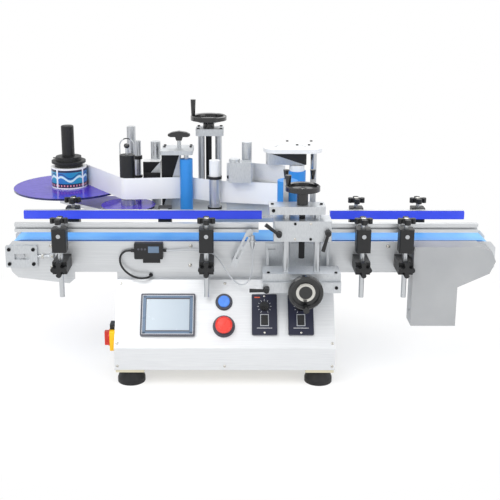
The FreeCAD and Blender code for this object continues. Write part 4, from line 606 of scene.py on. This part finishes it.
amplifier = {"x": -243.5, "z": 306.0, "face": -63.0}
bm = bmesh.new()
slab(bm, facing(at(amplifier["x"] + 12, amplifier["face"], amplifier["z"] + 4), frontOut), 26, 16, 0.5, 0.2)
piece("amplifierDisplay", bm, "machine", "screenSurround")
bm = bmesh.new()
for dx in (-8, -16, -24):
    lathe(bm, facing(at(amplifier["x"] + dx, amplifier["face"], amplifier["z"] + 5), frontOut),
          [(2.6, 0), (2.6, 0.8), (2.0, 1.2)], 20)
piece("amplifierKeys", bm, "machine", "absCharcoal")

cordPoints = {
    "amplifier": [
        (-286, -57, 306), (-295, -57, 306), (-305, -57.6, 302), (-312, -59, 293), (-313, -61.5, 281),
        (-309, -64.5, 269), (-301, -67.5, 259), (-290, -70.5, 250.5), (-277, -73, 244.5),
        (-263.5, -74.5, 242), (-252, -72.5, 242), (-244, -67, 242), (-240, -58.5, 242), (-240, -50, 242),
    ],
    "fibre": [
        (-201, -57, 306), (-190, -57, 306), (-175, -58, 307.5), (-155, -60, 308.6), (-132, -61.5, 308),
        (-112, -63, 306.5), (-95, -65.5, 303.5), (-82, -69, 297), (-71, -74, 284), (-61, -79, 268),
        (-50, -83, 252), (-38, -86.5, 239), (-25, -89, 231), (-12, -90.7, 233), (-3, -91.6, 244),
        (1.8, -92.3, 259), (4, -92.6, 275), (4.8, -92.4, 291), (4, -92, 307), (4, -92, 322),
    ],
}


def cable(name, points, radiusMm, finish, node):
    curve = bpy.data.curves.new(name, "CURVE")
    curve.dimensions = "3D"
    curve.bevel_depth = radiusMm / 1000
    curve.bevel_resolution = 6
    curve.resolution_u = 16
    curve.use_fill_caps = True
    spline = curve.splines.new("NURBS")
    spline.points.add(len(points) - 1)
    for point, (x, y, z) in zip(spline.points, points):
        point.co = (*at(x, y, z), 1.0)
    spline.order_u = 3
    spline.use_endpoint_u = True
    curve.materials.append(finishes[finish])
    made = bpy.data.objects.new(name, curve)
    bpy.context.scene.collection.objects.link(made)
    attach(made, "machine")
    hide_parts(node)
    return made


cable("amplifierCable", cordPoints["amplifier"], 2.5, "softPvc", "amplifier_cable")
cable("sensorCable", cordPoints["fibre"], 1.5, "greyPvc", "sensor_cable")
print("cables")

front = -152
socketScrews("liftBlockScrews", "press_lift", "blackOxide", frontOut, 3.2, 1.4,
             ((99.5, front, 399), (135, front, 363)))
socketScrews("liftBlockPins", "press_lift", "nickelPlate", frontOut, 3.0, 1.2,
             ((135, front, 399), (99.5, front, 363)))
bm = bmesh.new()
for x in (48, 160):
    capScrew(bm, facing(at(x, -124, 438), upward, x), 3.6, 2.5)
capScrew(bm, facing(at(50, -148, 429), frontOut, 10), 4.0, 2.0)
for x in (40, 196):
    capScrew(bm, facing(at(x, -142, 279), upward, x), 3.6, 2.5)
piece("carriageScrews", bm, "carriage", "blackOxide")
socketScrews("slideScrews", "machine", "blackOxide", frontOut, 4.0, 2.0, ((38, -160, 249), (196, -160, 249)))

bm = bmesh.new()
washer(bm, facing(at(*stations["cross"], 249), frontOut), 22.0, 15.4, 2.2)
piece("crossDialRing", bm, "cross_handwheel", "nickelPlate")
bm = bmesh.new()
washer(bm, facing(at(*stations["lift"], 471.8), upward), 13.0, 5.0, 1.2)
lathe(bm, facing(at(*stations["lift"], 472), upward), [(5, 0), (5, 1.5), (4.2, 2.4)], 24)
piece("liftHubCap", bm, "lift_handwheel", "nickelPlate")
bm = bmesh.new()
hubCap = [(9, 0), (9, 1.5), (7.5, 2.6), (3.4, 2.6), (3.2, 1.2)]
lathe(bm, facing(at(*stations["column"], 571), upward), hubCap, 32)
piece("columnHubCap", bm, "column_handwheel", "nickelPlate")
print("slide fittings")

feedCap, wrapPlate, columnPlate = 515, 529, 551
socketScrews("headScrews", "label_head", "blackOxide", upward, 3.4, 2.4,
             [(x, y, feedCap) for x, y in ((-219, 170), (-151, 170), (-219, 194), (-151, 194))]
             + [(x, y, wrapPlate) for x, y in ((98, 176), (160, 176), (120, 122), (150, 122))])
bm = bmesh.new()
slab(bm, facing(at(-254.5, 185, 435.5), frontOut), 44, 18, 1.6, 0.4)
piece("backBoxBar", bm, "label_head", "filledNylon")
socketScrews("columnScrews", "machine", "blackOxide", upward, 3.8, 2.4,
             [(x, y, columnPlate) for x in (-134, -74) for y in (236, 284)])
print("head fittings")

floorMaterial = bpy.data.materials.new("paintedStudioFloor")
floorMaterial.use_nodes = True
tree = floorMaterial.node_tree
tree.nodes.remove(tree.nodes["Principled BSDF"])
output = tree.nodes["Material Output"]
paint = addNode(tree, "BsdfDiffuse", {"Color": toLinear("#FFFFFF"), "Roughness": 0.6})
glow = addNode(tree, "Emission", {"Color": (1, 1, 1, 1), "Strength": 1.0})
distance = addNode(tree, "VectorMath", {"operation": "LENGTH"}, {0: place(tree, (1, 1.5, 1))})
reach = addNode(tree, "MapRange", {"From Min": 0.35, "From Max": 1.1, "To Min": 0.55, "To Max": 1.0},
                {"Value": distance.outputs["Value"]})
rays = addNode(tree, "LightPath")
seen = addNode(tree, "Math", {"operation": "MAXIMUM"},
               {0: rays.outputs["Is Camera Ray"], 1: rays.outputs["Is Glossy Ray"]})
seen = addNode(tree, "Math", {"operation": "MAXIMUM"},
               {0: seen.outputs[0], 1: rays.outputs["Is Transmission Ray"]})
factor = addNode(tree, "Math", {"operation": "MULTIPLY"}, {0: reach.outputs["Result"], 1: seen.outputs[0]})
blendFloor = addNode(tree, "MixShader", None, {0: factor.outputs[0], 1: paint.outputs[0], 2: glow.outputs[0]})
tree.links.new(blendFloor.outputs[0], output.inputs["Surface"])
bm = bmesh.new()
bmesh.ops.create_grid(bm, x_segments=4, y_segments=4, size=20.0)
mesh = bpy.data.meshes.new("studioFloor")
bm.to_mesh(mesh)
bm.free()
mesh.materials.append(floorMaterial)
floor = bpy.data.objects.new("studioFloor", mesh)
floor.location.z = -0.0005
bpy.context.scene.collection.objects.link(floor)

world = bpy.data.worlds.new("studioWorld")
world.use_nodes = True
bpy.context.scene.world = world
tree = world.node_tree
backdrop = tree.nodes["Background"]
rays = addNode(tree, "LightPath")
coordinates = addNode(tree, "TexCoord")
axes = addNode(tree, "SeparateXYZ", None, {0: coordinates.outputs["Generated"]})
shade = addNode(tree, "MapRange", {"From Min": -0.1, "From Max": 0.8, "To Min": 0.62, "To Max": 0.98},
                {"Value": axes.outputs["Z"]})
sky = addNode(tree, "CombineColor", None, {0: shade.outputs[0], 1: shade.outputs[0], 2: shade.outputs[0]})
pick = addNode(tree, "Mix", {"data_type": "RGBA", 7: (1, 1, 1, 1)},
               {0: rays.outputs["Is Camera Ray"], 6: sky.outputs[0]})
tree.links.new(pick.outputs[2], backdrop.inputs["Color"])
backdrop.inputs["Strength"].default_value = 1.0

lamps = {
    "keyLamp": {"at": (-1.2, -1.6, 2.2), "power": 26, "size": 1.6},
    "fillLamp": {"at": (1.7, -1.4, 1.4), "power": 12, "size": 1.8},
    "rimLamp": {"at": (0.3, 1.6, 2.0), "power": 16, "size": 1.6},
}
for name, lamp in lamps.items():
    light = bpy.data.lights.new(name, "AREA")
    light.energy = lamp["power"]
    light.size = lamp["size"]
    made = bpy.data.objects.new(name, light)
    made.location = lamp["at"]
    made.rotation_euler = (Vector((0, 0, 0.3)) - Vector(lamp["at"])).to_track_quat("-Z", "Y").to_euler()
    bpy.context.scene.collection.objects.link(made)

view = {
    "at": (-0.0137, -2.2248, 0.9473), "pitch": 14.07, "yaw": 0.24, "lens": 64.8,
    "across": 0.04, "down": -0.1, "end": 60.0,
}
camera = bpy.data.cameras.new("camera")
camera.sensor_width = 36.0
camera.lens = view["lens"]
camera.shift_x = view["across"]
camera.shift_y = view["down"]
camera.clip_end = view["end"]
cameraObject = bpy.data.objects.new("camera", camera)
cameraObject.location = view["at"]
cameraObject.rotation_euler = (math.radians(90 - view["pitch"]), 0, math.radians(view["yaw"]))
bpy.context.scene.collection.objects.link(cameraObject)
bpy.context.scene.camera = cameraObject
bpy.context.scene.view_settings.view_transform = "Standard"
print("studio set")
